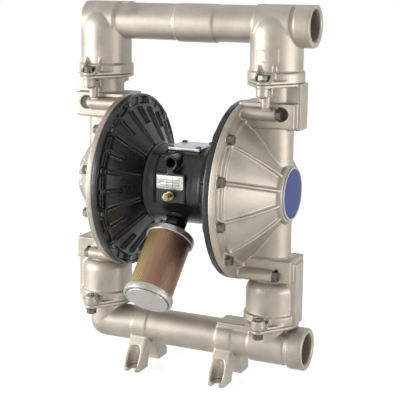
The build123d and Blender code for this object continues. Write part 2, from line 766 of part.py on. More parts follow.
def valve_plate():
    """Ported plate on the floor of the chest."""
    size = (valve_room[0] - seat_gap, valve_room[1] - seat_gap)
    plate = valve_slab(size, valve_floor_z, valve_floor_z + valve_plate_t, valve_corner_r)
    for step in (-cup_half, 0, cup_half):
        x = valve_x + step
        plate -= block(x - 2.0, x + 2.0, -9, 9, valve_floor_z - 1, valve_floor_z + 20)
    return one_solid(plate)


spool_z = valve_floor_z + valve_plate_t + 15.0


def air_valve_spool():
    """Sliding carriage with its cup over the valve plate."""
    spool = turned_x((-spool_half, 0), (-spool_half, spool_r), (-spool_half + 7, spool_r),
                     (-spool_half + 7, spool_r - 3), (spool_half - 7, spool_r - 3),
                     (spool_half - 7, spool_r), (spool_half, spool_r), (spool_half, 0))
    spool = Pos(valve_x, 0, spool_z) * spool
    low = valve_floor_z + valve_plate_t + body_gap
    cup = valve_slab((cup_half, 10.0), low, spool_z, 3.0)
    hollow = valve_slab((cup_half - 3, 7.0), low - 1, spool_z - 9, 2.0)
    return one_solid(spool + cup - hollow)


def shaft_bush():
    """Plain bush of the right shaft bore."""
    x0 = body_half - seal_len - bush_len
    bush = bar_x(x0, x0 + bush_len - seat_gap, bush_r)
    return bush - bar_x(0, body_half + 5, shaft_r + fit_gap)


def shaft_seal():
    """Lip seal outside the right bush."""
    seal = bar_x(body_half - seal_len, body_half - seat_gap, bush_r)
    return seal - bar_x(0, body_half + 5, shaft_r + fit_gap)


plate_slope = (air_plate_x[1] - air_plate_x[0]) / (air_plate_r - 3 - air_plate_flat_r)
pin_plate_x = air_plate_x[0] + (pin_circle - pin_r - air_plate_flat_r) * plate_slope
pin_tip_x = pin_plate_x - stroke - pin_tip_gap


def pilot_bush():
    """Bush that guides the right pilot pin."""
    y, z = polar(pin_circle, pin_angle)
    low = body_half - pin_len + 2 + pin_travel + pin_head_len + 1
    bush = bar_x(low, air_wall_x - seat_gap, pin_bush_r, y, z)
    return bush - bar_x(0, air_wall_x + 5, pin_r + fit_gap, y, z)


def pilot_pin():
    """Right pilot pin, out towards its diaphragm plate."""
    y, z = polar(pin_circle, pin_angle)
    low = body_half - pin_len + 2 + pin_travel + body_gap
    pin = bar_x(low, pin_tip_x, pin_r, y, z)
    pin = fillet(pin.edges().sort_by(Axis.X)[-1], 1.2)
    return pin + bar_x(low, low + pin_head_len, pin_head_r, y, z)


def diaphragm_shaft():
    """Shaft that ties the two diaphragms together."""
    shaft = bar_x(-shaft_half, shaft_half, shaft_r)
    shaft = chamfer(shaft.edges(), 1.0)
    for side in (-1, 1):
        span = sorted((side * (shaft_half + 1), side * (shaft_half - 24)))
        shaft -= bar_x(span[0], span[1], stud_r + seat_gap)
    return one_solid(shaft)


def air_plate():
    """Air side plate of the right diaphragm."""
    x0, x1 = air_plate_x
    plate = turned_x((shaft_half, stud_r + seat_gap), (shaft_half, plate_hub_r),
                     (x0, plate_hub_r), (x0, air_plate_flat_r), (x1, air_plate_r - 3),
                     (x1 + 3, air_plate_r), (clamp_x - 3, air_plate_r),
                     (clamp_x, air_plate_r - 3), (clamp_x, stud_r + seat_gap))
    return one_solid(plate)


def fluid_plate():
    """Fluid side plate with the stud that screws into the shaft."""
    x0 = clamp_x + clamp_t
    edge_x = x0 + fluid_plate_edge
    nose_x = x0 + fluid_plate_nose
    profile = Polyline((nose_x, 0), (shaft_half - 20, 0), (shaft_half - 20, stud_r),
                       (x0, stud_r), (x0, fluid_plate_r - 2), (edge_x, fluid_plate_r))
    profile += ThreePointArc((edge_x, fluid_plate_r), (nose_x - 5, 50.0), (nose_x, 16.0))
    profile += Line((nose_x, 16.0), (nose_x, 0))
    return one_solid(turned_line(profile))


def diaphragm():
    """Right diaphragm: flat centre, one roll and a clamped rim."""
    x0 = clamp_x
    x1 = clamp_x + clamp_t
    rim_x0 = joint_x + body_gap
    rim_x1 = rim_x0 + bead_t
    roll_in = fluid_plate_r + 5
    roll_out = chamber_mouth_r - 1.5
    middle = (roll_in + roll_out) / 2
    front = ThreePointArc((x1, roll_in), (x1 + roll_rise, middle), (rim_x1, roll_out))
    back = ThreePointArc((rim_x0, roll_out), (x0 + roll_rise, middle), (x0, roll_in))
    outline = Line((x1, stud_r + seat_gap), (x1, roll_in)) + front
    outline += Polyline((rim_x1, roll_out), (rim_x1, bead_r), (rim_x0, bead_r), (rim_x0, roll_out))
    outline += back
    outline += Polyline((x0, roll_in), (x0, stud_r + seat_gap), (x1, stud_r + seat_gap))
    return one_solid(turned_line(outline))


def seat(split_z, x):
    """Check valve seat with a pocket for the ball and a groove for its ring."""
    top = split_z + seat_t
    ring = ring_z(split_z, top, seat_bore_r, check_bore_r - seat_gap, x)
    ring -= Pos(x, 0, ball_rest_z(top)) * Sphere(ball_r + body_gap)
    groove_r = check_bore_r - seat_ring_d - 3
    side = seat_ring_d + 2 * seat_gap
    return ring - ring_z(split_z - 1, split_z + side, groove_r, groove_r + side, x)


def seat_ring(split_z, x):
    """O-ring in the groove under a seat."""
    groove_r = check_bore_r - seat_ring_d - 3
    middle_r = groove_r + seat_gap + seat_ring_d / 2
    return Pos(x, 0, split_z + seat_gap + seat_ring_d / 2) * Torus(middle_r, seat_ring_d / 2)


def ball(z, x):
    """Check ball on its seat."""
    return Pos(x, 0, z) * Sphere(ball_r)


def badge():
    """Bare round badge on the dome."""
    top_x = badge_boss_x + badge_t
    disc = bar_x(badge_boss_x, top_x, badge_r)
    disc = fillet(disc.edges().sort_by(Axis.X)[-1], 1.0)
    return one_solid(disc - bar_x(top_x - badge_face_deep, top_x + 1, badge_face_r))


def rim_bolts(tower):
    """Bolts of the right rim: short ones, or the long ones in the towers."""
    face = tower_end_x if tower else fluid_boss_x
    bolt = hex_bolt(face - bolt_end_x, shank_r, head_flats, head_height)
    placed = []
    for angle in bolt_angles():
        if is_tower(angle) == tower:
            y, z = polar(bolt_circle_r, angle)
            placed.append(Pos(face, y, z) * Rot(0, 90, 0) * bolt)
    return placed


def outlet_bolts():
    """Flange bolts of the outlet manifold, heads up."""
    top = outlet_split_z + plate_t
    length = plate_t * 2 + ear_boss_h + 3.5
    bolt = hex_bolt(length, shank_r, head_flats, head_height + 1)
    return [Pos(x, y, top) * bolt for side in (-column_x, column_x) for x, y in ear_spots(side)]


def inlet_bolts():
    """Flange bolts of the inlet manifold, heads down."""
    face = inlet_split_z - inlet_plate_t
    length = inlet_plate_t + ear_boss_h + 7
    bolt = Rot(180, 0, 0) * hex_bolt(length, shank_r, head_flats, head_height + 1)
    return [Pos(x, y, face) * bolt for side in (-column_x, column_x) for x, y in ear_spots(side)]


def hub_screws():
    """Screws that hold the right air cover to the housing."""
    length = air_wall_x - body_half + 12
    screw = hex_bolt(length, hub_screw_r, hub_screw_flats, hub_screw_head_h)
    placed = []
    for i in range(hub_screw_count):
        y, z = polar(hub_screw_circle, 360.0 / hub_screw_count * i)
        placed.append(Pos(air_wall_x, y, z) * Rot(0, 90, 0) * screw)
    return placed


def valve_cover_screws():
    """Button head screws of the valve cover."""
    top = valve_top_z + gasket_t + cover_t
    length = gasket_t + cover_t + 10
    placed = []
    for x, y in valve_screw_spots():
        head = bar_z(top, top + screw_head_h, screw_head_r, x, y)
        head = fillet(head.edges().sort_by(Axis.Z)[-1], screw_head_h / 2)
        socket = extrude(RegularPolygon(screw_socket_r, 6), amount=screw_head_h)
        head -= Pos(x, y, top + screw_head_h / 2) * socket
        placed.append(head + bar_z(top - length, top + 0.01, screw_r, x, y))
    return placed


def exhaust_fitting():
    """Nipple between the housing and the muffler."""
    hexagon = extrude(RegularPolygon(nipple_hex / math.sqrt(3), 6), amount=nipple_hex_len)
    body = along_exhaust(-12, nipple_len + 10, nipple_r)
    body += exhaust_frame(exhaust_boss_len + 6) * hexagon
    return one_solid(body - along_exhaust(-20, nipple_len + 20, muffler_bore_r))


def muffler_top_cap():
    """Cap on the nipple, with a skirt over the tube."""
    low = nipple_len
    cap = along_exhaust(low, low + muffler_cap_len, muffler_cap_r)
    cap = fillet(cap.edges().filter_by(GeomType.CIRCLE), 2.5)
    cap -= along_exhaust(low + 3.5, low + muffler_cap_len + 1, muffler_tube_r + seat_gap)
    return one_solid(cap - along_exhaust(low - 1, low + 10, nipple_r + seat_gap))


def muffler_bottom_cap():
    """Closed end cap with a raised rim."""
    high = nipple_len + muffler_len
    rim = high - cap_step
    cap = along_exhaust(high - muffler_cap_len - cap_step, rim, muffler_cap_r)
    cap = fillet(cap.edges().filter_by(GeomType.CIRCLE), 2.0)
    groove = along_exhaust(rim - 1.5, high + 1, cap_disc_r + 2.5)
    groove -= along_exhaust(rim - 2.5, high + 2, cap_disc_r)
    disc = along_exhaust(rim - 4, high, cap_disc_r)
    cap += fillet(disc.edges().filter_by(GeomType.CIRCLE).sort_by(Axis.Z)[:1], 2.0)
    cap -= groove
    return one_solid(cap - along_exhaust(high - 30, high - 6.5, muffler_tube_r + seat_gap))


def muffler_tube():
    """Perforated outer tube of the muffler."""
    low = nipple_len + 3.5
    high = nipple_len + muffler_len - 6.5
    inner = muffler_tube_r - muffler_tube_t
    return along_exhaust(low, high, muffler_tube_r) - along_exhaust(low - 1, high + 1, inner)


def muffler_core():
    """Felt sleeve inside the tube."""
    low = nipple_len + 3.5
    high = nipple_len + muffler_len - 6.5
    outer = muffler_tube_r - muffler_tube_t - seat_gap
    return along_exhaust(low, high, outer) - along_exhaust(low - 1, high + 1,
                                                           outer - muffler_core_t)


def nameplate():
    """Bare plate on the front pad."""
    half_w, half_h, thick = name_plate
    plate = block(-half_w, half_w, pad_face_y - thick, pad_face_y,
                  name_plate_z - half_h, name_plate_z + half_h)
    plate = fillet(plate.edges().filter_by(Axis.Y), 2.0)
    for x in rivet_spots():
        plate -= bar_y(pad_face_y - 5, pad_face_y + 5, rivet_r + seat_gap, x, name_plate_z)
    return one_solid(plate)


def nameplate_rivets():
    """Domed rivets through the plate."""
    face = pad_face_y - name_plate[2]
    placed = []
    for x in rivet_spots():
        head = bar_y(face - rivet_head_h, face, rivet_head_r, x, name_plate_z)
        head = fillet(head.edges().sort_by(Axis.Y)[0], 1.0)
        placed.append(head + bar_y(face - 0.01, face + 6, rivet_r, x, name_plate_z))
    return placed


def earth_washer():
    """Washer of the earth screw."""
    ring = bar_y(pad_face_y - earth_washer_t, pad_face_y, earth_washer_r, 0, earth_z)
    return ring - bar_y(pad_face_y - 5, pad_face_y + 5, earth_shank_r + hole_gap, 0, earth_z)


def earth_screw():
    """Slotted hexagon screw that stands off its washer."""
    head_y = pad_face_y - earth_reach
    head = extrude(RegularPolygon(earth_head_r, 6), amount=earth_head_h)
    width, depth = earth_slot
    head -= Pos(0, 0, earth_head_h) * Box(width, 3 * earth_head_r, 2 * depth)
    head = Pos(0, head_y, earth_z) * Rot(90, 0, 0) * head
    collar = bar_y(head_y, head_y + 1.6, earth_head_r + 1, 0, earth_z)
    return one_solid(head + collar + bar_y(head_y, pad_face_y + 11, earth_shank_r, 0, earth_z))


def keep(name, *shapes):
    """Lift the pieces on to the floor and write them as one node."""
    solids = []
    for shape in shapes:
        for solid in shape.solids():
            solids.append(Pos(0, 0, shaft_height) * solid)
    export_step(solids[0] if len(solids) == 1 else Compound(solids), f"parts/{name}.step")


def flipped(shape):
    """The left hand twin of a right hand piece."""
    return mirror(shape, about=Plane.YZ)


def keep_pair(name, shape):
    """Write a right hand piece and its twin as two nodes."""
    keep(name + "_right", shape)
    keep(name + "_left", flipped(shape))


def keep_both(name, shapes):
    """Write right hand pieces and their twins as one node."""
    keep(name, *shapes, *[flipped(shape) for shape in shapes])


def main():
    """Build every node."""
    os.makedirs("parts", exist_ok=True)
    keep_pair("fluid_cover", fluid_cover())
    keep("outlet_manifold", outlet_manifold())
    keep("inlet_manifold", inlet_manifold())
    keep_pair("air_cover", air_cover())
    keep("centre_housing", centre_housing())
    keep("valve_cover", valve_cover())
    keep("valve_gasket", valve_gasket())
    keep("valve_plate", valve_plate())
    keep("air_valve_spool", air_valve_spool())
    keep_both("shaft_bushes", [shaft_bush()])
    keep_both("shaft_seals", [shaft_seal()])
    keep_both("pilot_pin_bushes", [pilot_bush()])
    keep_pair("pilot_pin", pilot_pin())
    keep("diaphragm_shaft", diaphragm_shaft())
    keep_pair("air_plate", air_plate())
    keep_pair("fluid_plate", fluid_plate())
    keep_pair("diaphragm", diaphragm())
    keep("inlet_valve_seats", seat(inlet_split_z, column_x), seat(inlet_split_z, -column_x))
    keep("outlet_valve_seats", seat(outlet_split_z, column_x), seat(outlet_split_z, -column_x))
    keep("inlet_seat_rings", seat_ring(inlet_split_z, column_x),
         seat_ring(inlet_split_z, -column_x))
    keep("outlet_seat_rings", seat_ring(outlet_split_z, column_x),
         seat_ring(outlet_split_z, -column_x))
    keep_pair("inlet_ball", ball(inlet_ball_z, column_x))
    keep_pair("outlet_ball", ball(outlet_ball_z, column_x))
    keep_pair("badge", badge())
    keep_both("rim_bolts", rim_bolts(False))
    keep_both("tower_bolts", rim_bolts(True))
    keep("outlet_flange_bolts", *outlet_bolts())
    keep("inlet_flange_bolts", *inlet_bolts())
    keep_both("air_cover_screws", hub_screws())
    keep("valve_cover_screws", *valve_cover_screws())
    keep("exhaust_fitting", exhaust_fitting())
    keep("muffler_top_cap", muffler_top_cap())
    keep("muffler_tube", muffler_tube())
    keep("muffler_element", muffler_core())
    keep("muffler_bottom_cap", muffler_bottom_cap())
    keep("nameplate", nameplate())
    keep("nameplate_rivets", *nameplate_rivets())
    keep("earth_screw", earth_screw())
    keep("earth_washer", earth_washer())


main()
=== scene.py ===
"""Looks of the air operated diaphragm pump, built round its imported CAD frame."""
import json
import math

import bpy
from mathutils import Matrix, Vector


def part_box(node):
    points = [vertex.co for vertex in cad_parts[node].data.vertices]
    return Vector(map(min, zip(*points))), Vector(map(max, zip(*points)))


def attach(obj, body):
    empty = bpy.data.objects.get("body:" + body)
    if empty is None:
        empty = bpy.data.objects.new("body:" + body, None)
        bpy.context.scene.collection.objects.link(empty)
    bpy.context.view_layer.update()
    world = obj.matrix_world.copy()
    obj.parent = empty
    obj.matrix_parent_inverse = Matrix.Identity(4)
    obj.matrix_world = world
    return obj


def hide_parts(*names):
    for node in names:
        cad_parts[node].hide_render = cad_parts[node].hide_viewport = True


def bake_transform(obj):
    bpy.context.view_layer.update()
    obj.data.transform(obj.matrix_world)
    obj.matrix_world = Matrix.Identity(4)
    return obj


bl_info = {
    "name": "Diaphragm pump looks",
    "version": (1, 0, 0),
    "blender": (4, 5, 0),
    "location": "3D View > Sidebar > Pump",
    "description": "Cast skins, fasteners, muffler mesh and finishes of a diaphragm pump",
    "category": "Object",
}

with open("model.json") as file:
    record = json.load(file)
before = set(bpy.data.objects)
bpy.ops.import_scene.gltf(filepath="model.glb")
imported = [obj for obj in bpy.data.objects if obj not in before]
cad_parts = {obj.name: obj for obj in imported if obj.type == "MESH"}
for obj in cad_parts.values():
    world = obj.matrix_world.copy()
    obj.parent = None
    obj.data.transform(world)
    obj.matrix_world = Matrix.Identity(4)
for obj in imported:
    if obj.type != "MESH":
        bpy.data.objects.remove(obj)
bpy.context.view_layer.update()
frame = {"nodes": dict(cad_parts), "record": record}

MM = 0.001
SHAFT_Z = 0.380             # shaft axis above the floor, as in the CAD model

# Castings
DOME_ARC = ((134.1, 141.3), (174.7, 101.6), (208.1, 57.0))   # rib crests, x and radius
RIB_ANGLES = (15, 45, 135, 165, 195, 225, 315, 345)          # ribs round the shaft
SKIN_FACES = 92000          # most faces of a cast skin

# Fasteners
CAD_HEAD = 0.0065           # height of the bolt heads in the CAD model
SHANK_RADIUS = 5 * MM       # M10
BOLT_TURN = 37              # degrees from one bolt head to the next

# Diaphragms
DIAPHRAGM_SECTORS = 24

# Exhaust line
EXHAUST = (0.0, -0.044, SHAFT_Z - 0.060)          # start of the exhaust line
EXHAUST_TURN = (math.radians(135), 0.0, 0.0)      # turns +Z down the exhaust line
MESH_RADIUS = 42.2 * MM
MESH_LENGTH = 137 * MM
MESH_MIDDLE = 112 * MM      # along the exhaust line
MESH_WIRES = 64             # 4 mm apart, wider than the real spacing, so that they show
WIRE_RADIUS = 0.0425        # radius on which the wires' slant is worked out

# Name plate
PLATE_RULES = (38 * MM, 21 * MM)    # width and height of the ruled boxes

# Studio and camera
LAMPS = (                   # name, place, width, height, watts
    ("key_lamp", (-2.30, -1.65, 0.75), 2.3, 1.5, 88.0),
    ("fill_lamp", (2.75, -0.40, 0.10), 2.2, 1.5, 64.0),
    ("top_lamp", (0.2, 0.6, 2.8), 1.6, 1.6, 4.0),
)
CAMERA_PLACE = (0.895071, -1.901559, SHAFT_Z + 0.414923)
CAMERA_YAW, CAMERA_PITCH, CAMERA_ROLL = 0.4398, 0.1807, 0.0071
CAMERA_SHIFT = (0.03, -0.08)
LENS_PIXELS = 1096.287      # focal length in pixels of a picture 400 wide
PICTURE_PIXELS = 400
SENSOR = 36.0


# Plain finishes by slot: name, dark and light colour, metallic, roughness from and to,
# grain in mm and its bump
PLAIN_FINISHES = {
    # turned bar: bright grey metal whose fine turning softens the highlights
    "steel": ("turned_stainless_steel", "#9C9C9A", "#B8B8B6", 0.95, 0.22, 0.34, 0.8, 0.08),
    # cast and faced aluminium, drawn pale and slightly blue with a broad soft shine: the pale
    # bluish white is a painted reflection of the white surroundings at a grazing angle
    "cast_aluminium": ("pale_aluminium_painted_reflection", "#B9BCBE", "#D2D5D8", 0.8,
                       0.30, 0.42, 1.2, 0.08),
    # moulded rubber: dull near black with a powdery grain
    "black_rubber": ("moulded_nitrile_rubber", "#191919", "#232322", 0.0,
                     0.55, 0.72, 1.5, 0.2),
    # ground rubber balls: brownish black, a little smoother
    "ball_rubber": ("moulded_fluoro_rubber", "#2C2925", "#3A3631", 0.0,
                    0.42, 0.55, 1.5, 0.12),
    # turned acetal: milky white with a waxy sheen
    "white_plastic": ("moulded_acetal", "#DAD7CC", "#E8E5DB", 0.0, 0.38, 0.5, 1.2, 0.1),
    # black acetal: blue black with a satin moulded face
    "dark_plastic": ("moulded_black_acetal", "#1B1C1E", "#2A2B2E", 0.0,
                     0.32, 0.45, 1.2, 0.1),
    # rolled and printed foil: flat silvery white, little contrast
    "plate_foil": ("printed_aluminium_plate", "#C9C8C4", "#DDDCD8", 0.55,
                   0.30, 0.42, 0.9, 0.08),
    # spun sheet with bright zinc: silver with a faint warm cloud
    "zinc_caps": ("zinc_plated_spun_steel", "#AAA9A2", "#C4C3BC", 0.75,
                  0.30, 0.44, 1.2, 0.08),
    # pressed wool felt: beige, quite matt, with a coarse nap
    "felt": ("pressed_felt", "#9C9484", "#B7AF9E", 0.0, 0.85, 0.95, 1.2, 0.6),
    # turned brass with yellow zinc: greenish gold, clear highlights
    "brass": ("yellow_zinc_plated_brass", "#94875E", "#B3A67C", 0.9, 0.26, 0.38, 1.0, 0.1),
}
# Finishes of the threads and rules, which have no slot of their own
EXTRA_FINISHES = (
    # cut thread in stainless: darker than the blasted skin, with sharp highlights
    ("machined_stainless", "#8E8A82", "#A8A49B", 0.85, 0.26, 0.38, 0.8, 0.08),
    # cut thread in painted aluminium: dark grey, half metal where the paint is cut
    ("machined_black", "#2A2927", "#383633", 0.3, 0.35, 0.45, 0.8, 0.08),
    # screen print: flat dark grey lines
    ("printed_grey_ink", "#4E4E4C", "#5E5E5B", 0.0, 0.5, 0.6, 0.6, 0.05),
)


# Sizes and colours that a user would change

class PumpSizes(bpy.types.PropertyGroup):
    """Sizes of the cast skins and of the small detail pieces"""

    cast_step: bpy.props.FloatProperty(
        name="Cast skin step", description="Grid step of the cast skins",
        default=1.5 * MM, min=0.5 * MM, max=6 * MM, unit="LENGTH", precision=4)
    cast_smooth: bpy.props.IntProperty(
        name="Cast softening", description="Smoothing rounds that soften the cast edges",
        default=4, min=0, max=20)
    rib_width: bpy.props.FloatProperty(
        name="Rib width", description="Width of the round crests of the dome ribs",
        default=6.4 * MM, min=3 * MM, max=12 * MM, unit="LENGTH", precision=4)
    head_flats: bpy.props.FloatProperty(
        name="Bolt head flats", description="Width across the flats of the M10 heads",
        default=17 * MM, min=8 * MM, max=30 * MM, unit="LENGTH", precision=4)
    head_height: bpy.props.FloatProperty(
        name="Bolt head height", description="Height of the bolt heads over their face",
        default=10.5 * MM, min=4 * MM, max=20 * MM, unit="LENGTH", precision=4)
    washer_radius: bpy.props.FloatProperty(
        name="Bolt washer", description="Radius of the washer face under a head",
        default=10.6 * MM, min=5 * MM, max=15 * MM, unit="LENGTH", precision=4)
    badge_rim: bpy.props.FloatProperty(
        name="Badge rim", description="Width of the silver rim round a badge",
        default=4.0 * MM, min=1 * MM, max=10 * MM, unit="LENGTH", precision=4)
    thread_pitch: bpy.props.FloatProperty(
        name="Thread pitch", description="Pitch of the pipe threads, 11.5 to the inch",
        default=2.21 * MM, min=1 * MM, max=4 * MM, unit="LENGTH", precision=5)
    seam_angle: bpy.props.FloatProperty(
        name="Muffler seam", description="Where the mesh laps round the muffler, in degrees",
        default=62.0, min=-180.0, max=180.0)
    plate_rule: bpy.props.FloatProperty(
        name="Name plate rules", description="Half width of the printed rules",
        default=0.35 * MM, min=0.1 * MM, max=1 * MM, unit="LENGTH", precision=5)
    edge_round: bpy.props.FloatProperty(
        name="Machined edge", description="Rounding of machined and formed edges",
        default=0.35 * MM, min=0.05 * MM, max=2 * MM, unit="LENGTH", precision=5)


class PumpColours(bpy.types.PropertyGroup):
    """Colours of the finishes, as sRGB hex values"""

    steel: bpy.props.StringProperty(
        name="Cast steel", description="Bead blasted stainless steel", default="#B0A79B")
    steel_shade: bpy.props.StringProperty(
        name="Cast steel shade", description="Blast marks and handling on the steel",
        default="#9A9083")
    paint: bpy.props.StringProperty(
        name="Black paint", description="Satin black on the air section", default="#252524")
    bolts: bpy.props.StringProperty(
        name="Bolts", description="Dark zinc on the fasteners", default="#77756D")
    badge: bpy.props.StringProperty(
        name="Badge", description="Blue of the round badges", default="#263E92")
    mesh_gold: bpy.props.StringProperty(
        name="Mesh gold", description="Yellow passivation on the muffler tube",
        default="#AA955F")
    # the brown is the passivation's tint, and in part painted shade on the tube's side turned
    # from the key lamp
    mesh_brown_and_shade: bpy.props.StringProperty(
        name="Mesh brown", description="Brown of the passivation's far side",
        default="#866655")
    floor: bpy.props.StringProperty(
        name="Floor", description="Pale studio floor", default="#B4B4B2")


def sizes():
    """The scene's pump sizes."""
    return bpy.context.scene.pump_sizes


def colours():
    """The scene's pump colours."""
    return bpy.context.scene.pump_colours


def linear(hex_value):
    """Turns an sRGB hex value into a linear colour with alpha."""
    parts = [int(hex_value[i:i + 2], 16) / 255 for i in (1, 3, 5)]
    return tuple(p / 12.92 if p <= 0.04045 else ((p + 0.055) / 1.055) ** 2.4
                 for p in parts) + (1.0,)


# Material nodes

def add_node(tree, kind, settings=None, links=None):
    """Adds a node, sets its fields, inputs and colour stops, and links outputs into it."""
    node = tree.nodes.new(kind)
    for key, value in (settings or {}).items():
        if key == "stops":
            band = node.color_ramp
            while len(band.elements) < len(value):
                band.elements.new(1.0)
            for element, (place, colour) in zip(band.elements, value):
                element.position, element.color = place, linear(colour)
        elif isinstance(key, int) or key in node.inputs:
            node.inputs[key].default_value = value
        else:
            setattr(node, key, value)
    for key, output in (links or {}).items():
        tree.links.new(output, node.inputs[key])
    return node


def start_material(name, metallic=0.0):
    """New node material with a shader, its output and object coordinates."""
    material = bpy.data.materials.new(name)
    material.use_nodes = True
    tree = material.node_tree
    tree.nodes.clear()
    shader = add_node(tree, "ShaderNodeBsdfPrincipled", {"Metallic": metallic})
    add_node(tree, "ShaderNodeOutputMaterial", links={"Surface": shader.outputs["BSDF"]})
    where = add_node(tree, "ShaderNodeTexCoord").outputs["Object"]
    return material, tree, shader, where


def lumps(tree, where, size_mm, detail=3.0, roughness=0.6):
    """Uneven height whose lumps measure about size_mm."""
    return add_node(tree, "ShaderNodeTexNoise",
                    {"Scale": 1000.0 / size_mm, "Detail": detail, "Roughness": roughness},
                    {"Vector": where}).outputs["Fac"]


def mottle(tree, shader, height, stops, rough=None, span=(0.3, 0.7)):
    """Colour, and roughness if it varies, that follow an uneven height of a surface."""
    colour = add_node(tree, "ShaderNodeValToRGB", {"stops": stops}, {"Fac": height})
    tree.links.new(colour.outputs["Color"], shader.inputs["Base Color"])
    if rough:
        spread = add_node(tree, "ShaderNodeMapRange",
                          {"From Min": span[0], "From Max": span[1],
                           "To Min": rough[0], "To Max": rough[1]}, {"Value": height})
        tree.links.new(spread.outputs["Result"], shader.inputs["Roughness"])


def relief(tree, shader, layers):
    """Bumps of (height, strength, distance in metres), one over the other."""
    links = {}
    for height, strength, distance in layers:
        bump = add_node(tree, "ShaderNodeBump", {"Strength": strength, "Distance": distance},
                        {"Height": height, **links})
        links = {"Normal": bump.outputs["Normal"]}
    tree.links.new(bump.outputs["Normal"], shader.inputs["Normal"])


def bead_blasted_cast_stainless():
    """Investment cast stainless steel, bead blasted: an even silvery beige with a fine
    sandy grain and soft cloudy patches."""
    material, tree, shader, where = start_material("bead_blasted_cast_stainless", 0.55)
    cloud = lumps(tree, where, 45, 3.0, 0.5)
    speck = lumps(tree, where, 3.0, 5.0, 0.7)
    mixed = add_node(tree, "ShaderNodeMath", {"operation": "MULTIPLY_ADD", 1: 0.45},
                     {0: speck, 2: cloud}).outputs[0]
    mottle(tree, shader, mixed, [(0.42, colours().steel_shade), (0.62, colours().steel),
                                 (0.95, "#C0B7AA")], (0.36, 0.48), (0.3, 0.8))
    # blast grit of about 0.6 mm, drawn at 1.6 mm so that it shows in the render, over
    # shallow dips of about 14 mm that the mould leaves
    relief(tree, shader, [(lumps(tree, where, 1.6), 0.16, 0.4 * MM),
                          (lumps(tree, where, 14, 2.0, 0.5), 0.25, 1.0 * MM)])
    return material


def satin_black_paint():
    """Powder coat on cast aluminium: near black, satin, with a fine orange peel."""
    material, tree, shader, where = start_material("satin_black_powder_coat")
    shader.inputs["IOR"].default_value = 1.5
    mottle(tree, shader, lumps(tree, where, 30, 4.0),
           [(0.3, "#1C1C1B"), (0.7, colours().paint)], (0.24, 0.36))
    # orange peel of about 1.5 mm, drawn at 2.2 mm so that it shows
    relief(tree, shader, [(lumps(tree, where, 2.2), 0.22, 0.5 * MM)])
    return material


def dark_zinc():
    """Black zinc plating on cold formed bolts: dark olive grey metal, a little patchy."""
    material, tree, shader, where = start_material("dark_zinc_plated_steel", 0.85)
    mottle(tree, shader, lumps(tree, where, 5, 4.0),
           [(0.3, "#5E5C55"), (0.7, colours().bolts)], (0.28, 0.42))
    # forging marks of about 1 mm
    relief(tree, shader, [(lumps(tree, where, 1.0), 0.12, 0.2 * MM)])
    return material


def plain_finish(name, dark, light, metallic, rough_low, rough_high, grain_mm, bump):
    """A finish with a cloudy colour, uneven roughness and a fine surface grain."""
    material, tree, shader, where = start_material(name, metallic)
    mottle(tree, shader, lumps(tree, where, grain_mm * 8, 4.0),
           [(0.3, dark), (0.7, light)], (rough_low, rough_high))
    relief(tree, shader, [(lumps(tree, where, grain_mm), bump, 0.3 * MM)])
    return material


def badge_enamel():
    """Blue printed badge under a clear coat: even, satin, with hardly any cloud."""
    material, tree, shader, where = start_material("gloss_blue_badge_enamel")
    shader.inputs["Roughness"].default_value = 0.40
    shader.inputs["Specular IOR Level"].default_value = 0.25
    mottle(tree, shader, lumps(tree, where, 20, 2.0, 0.5),
           [(0.2, "#213784"), (0.8, colours().badge)])
    return material


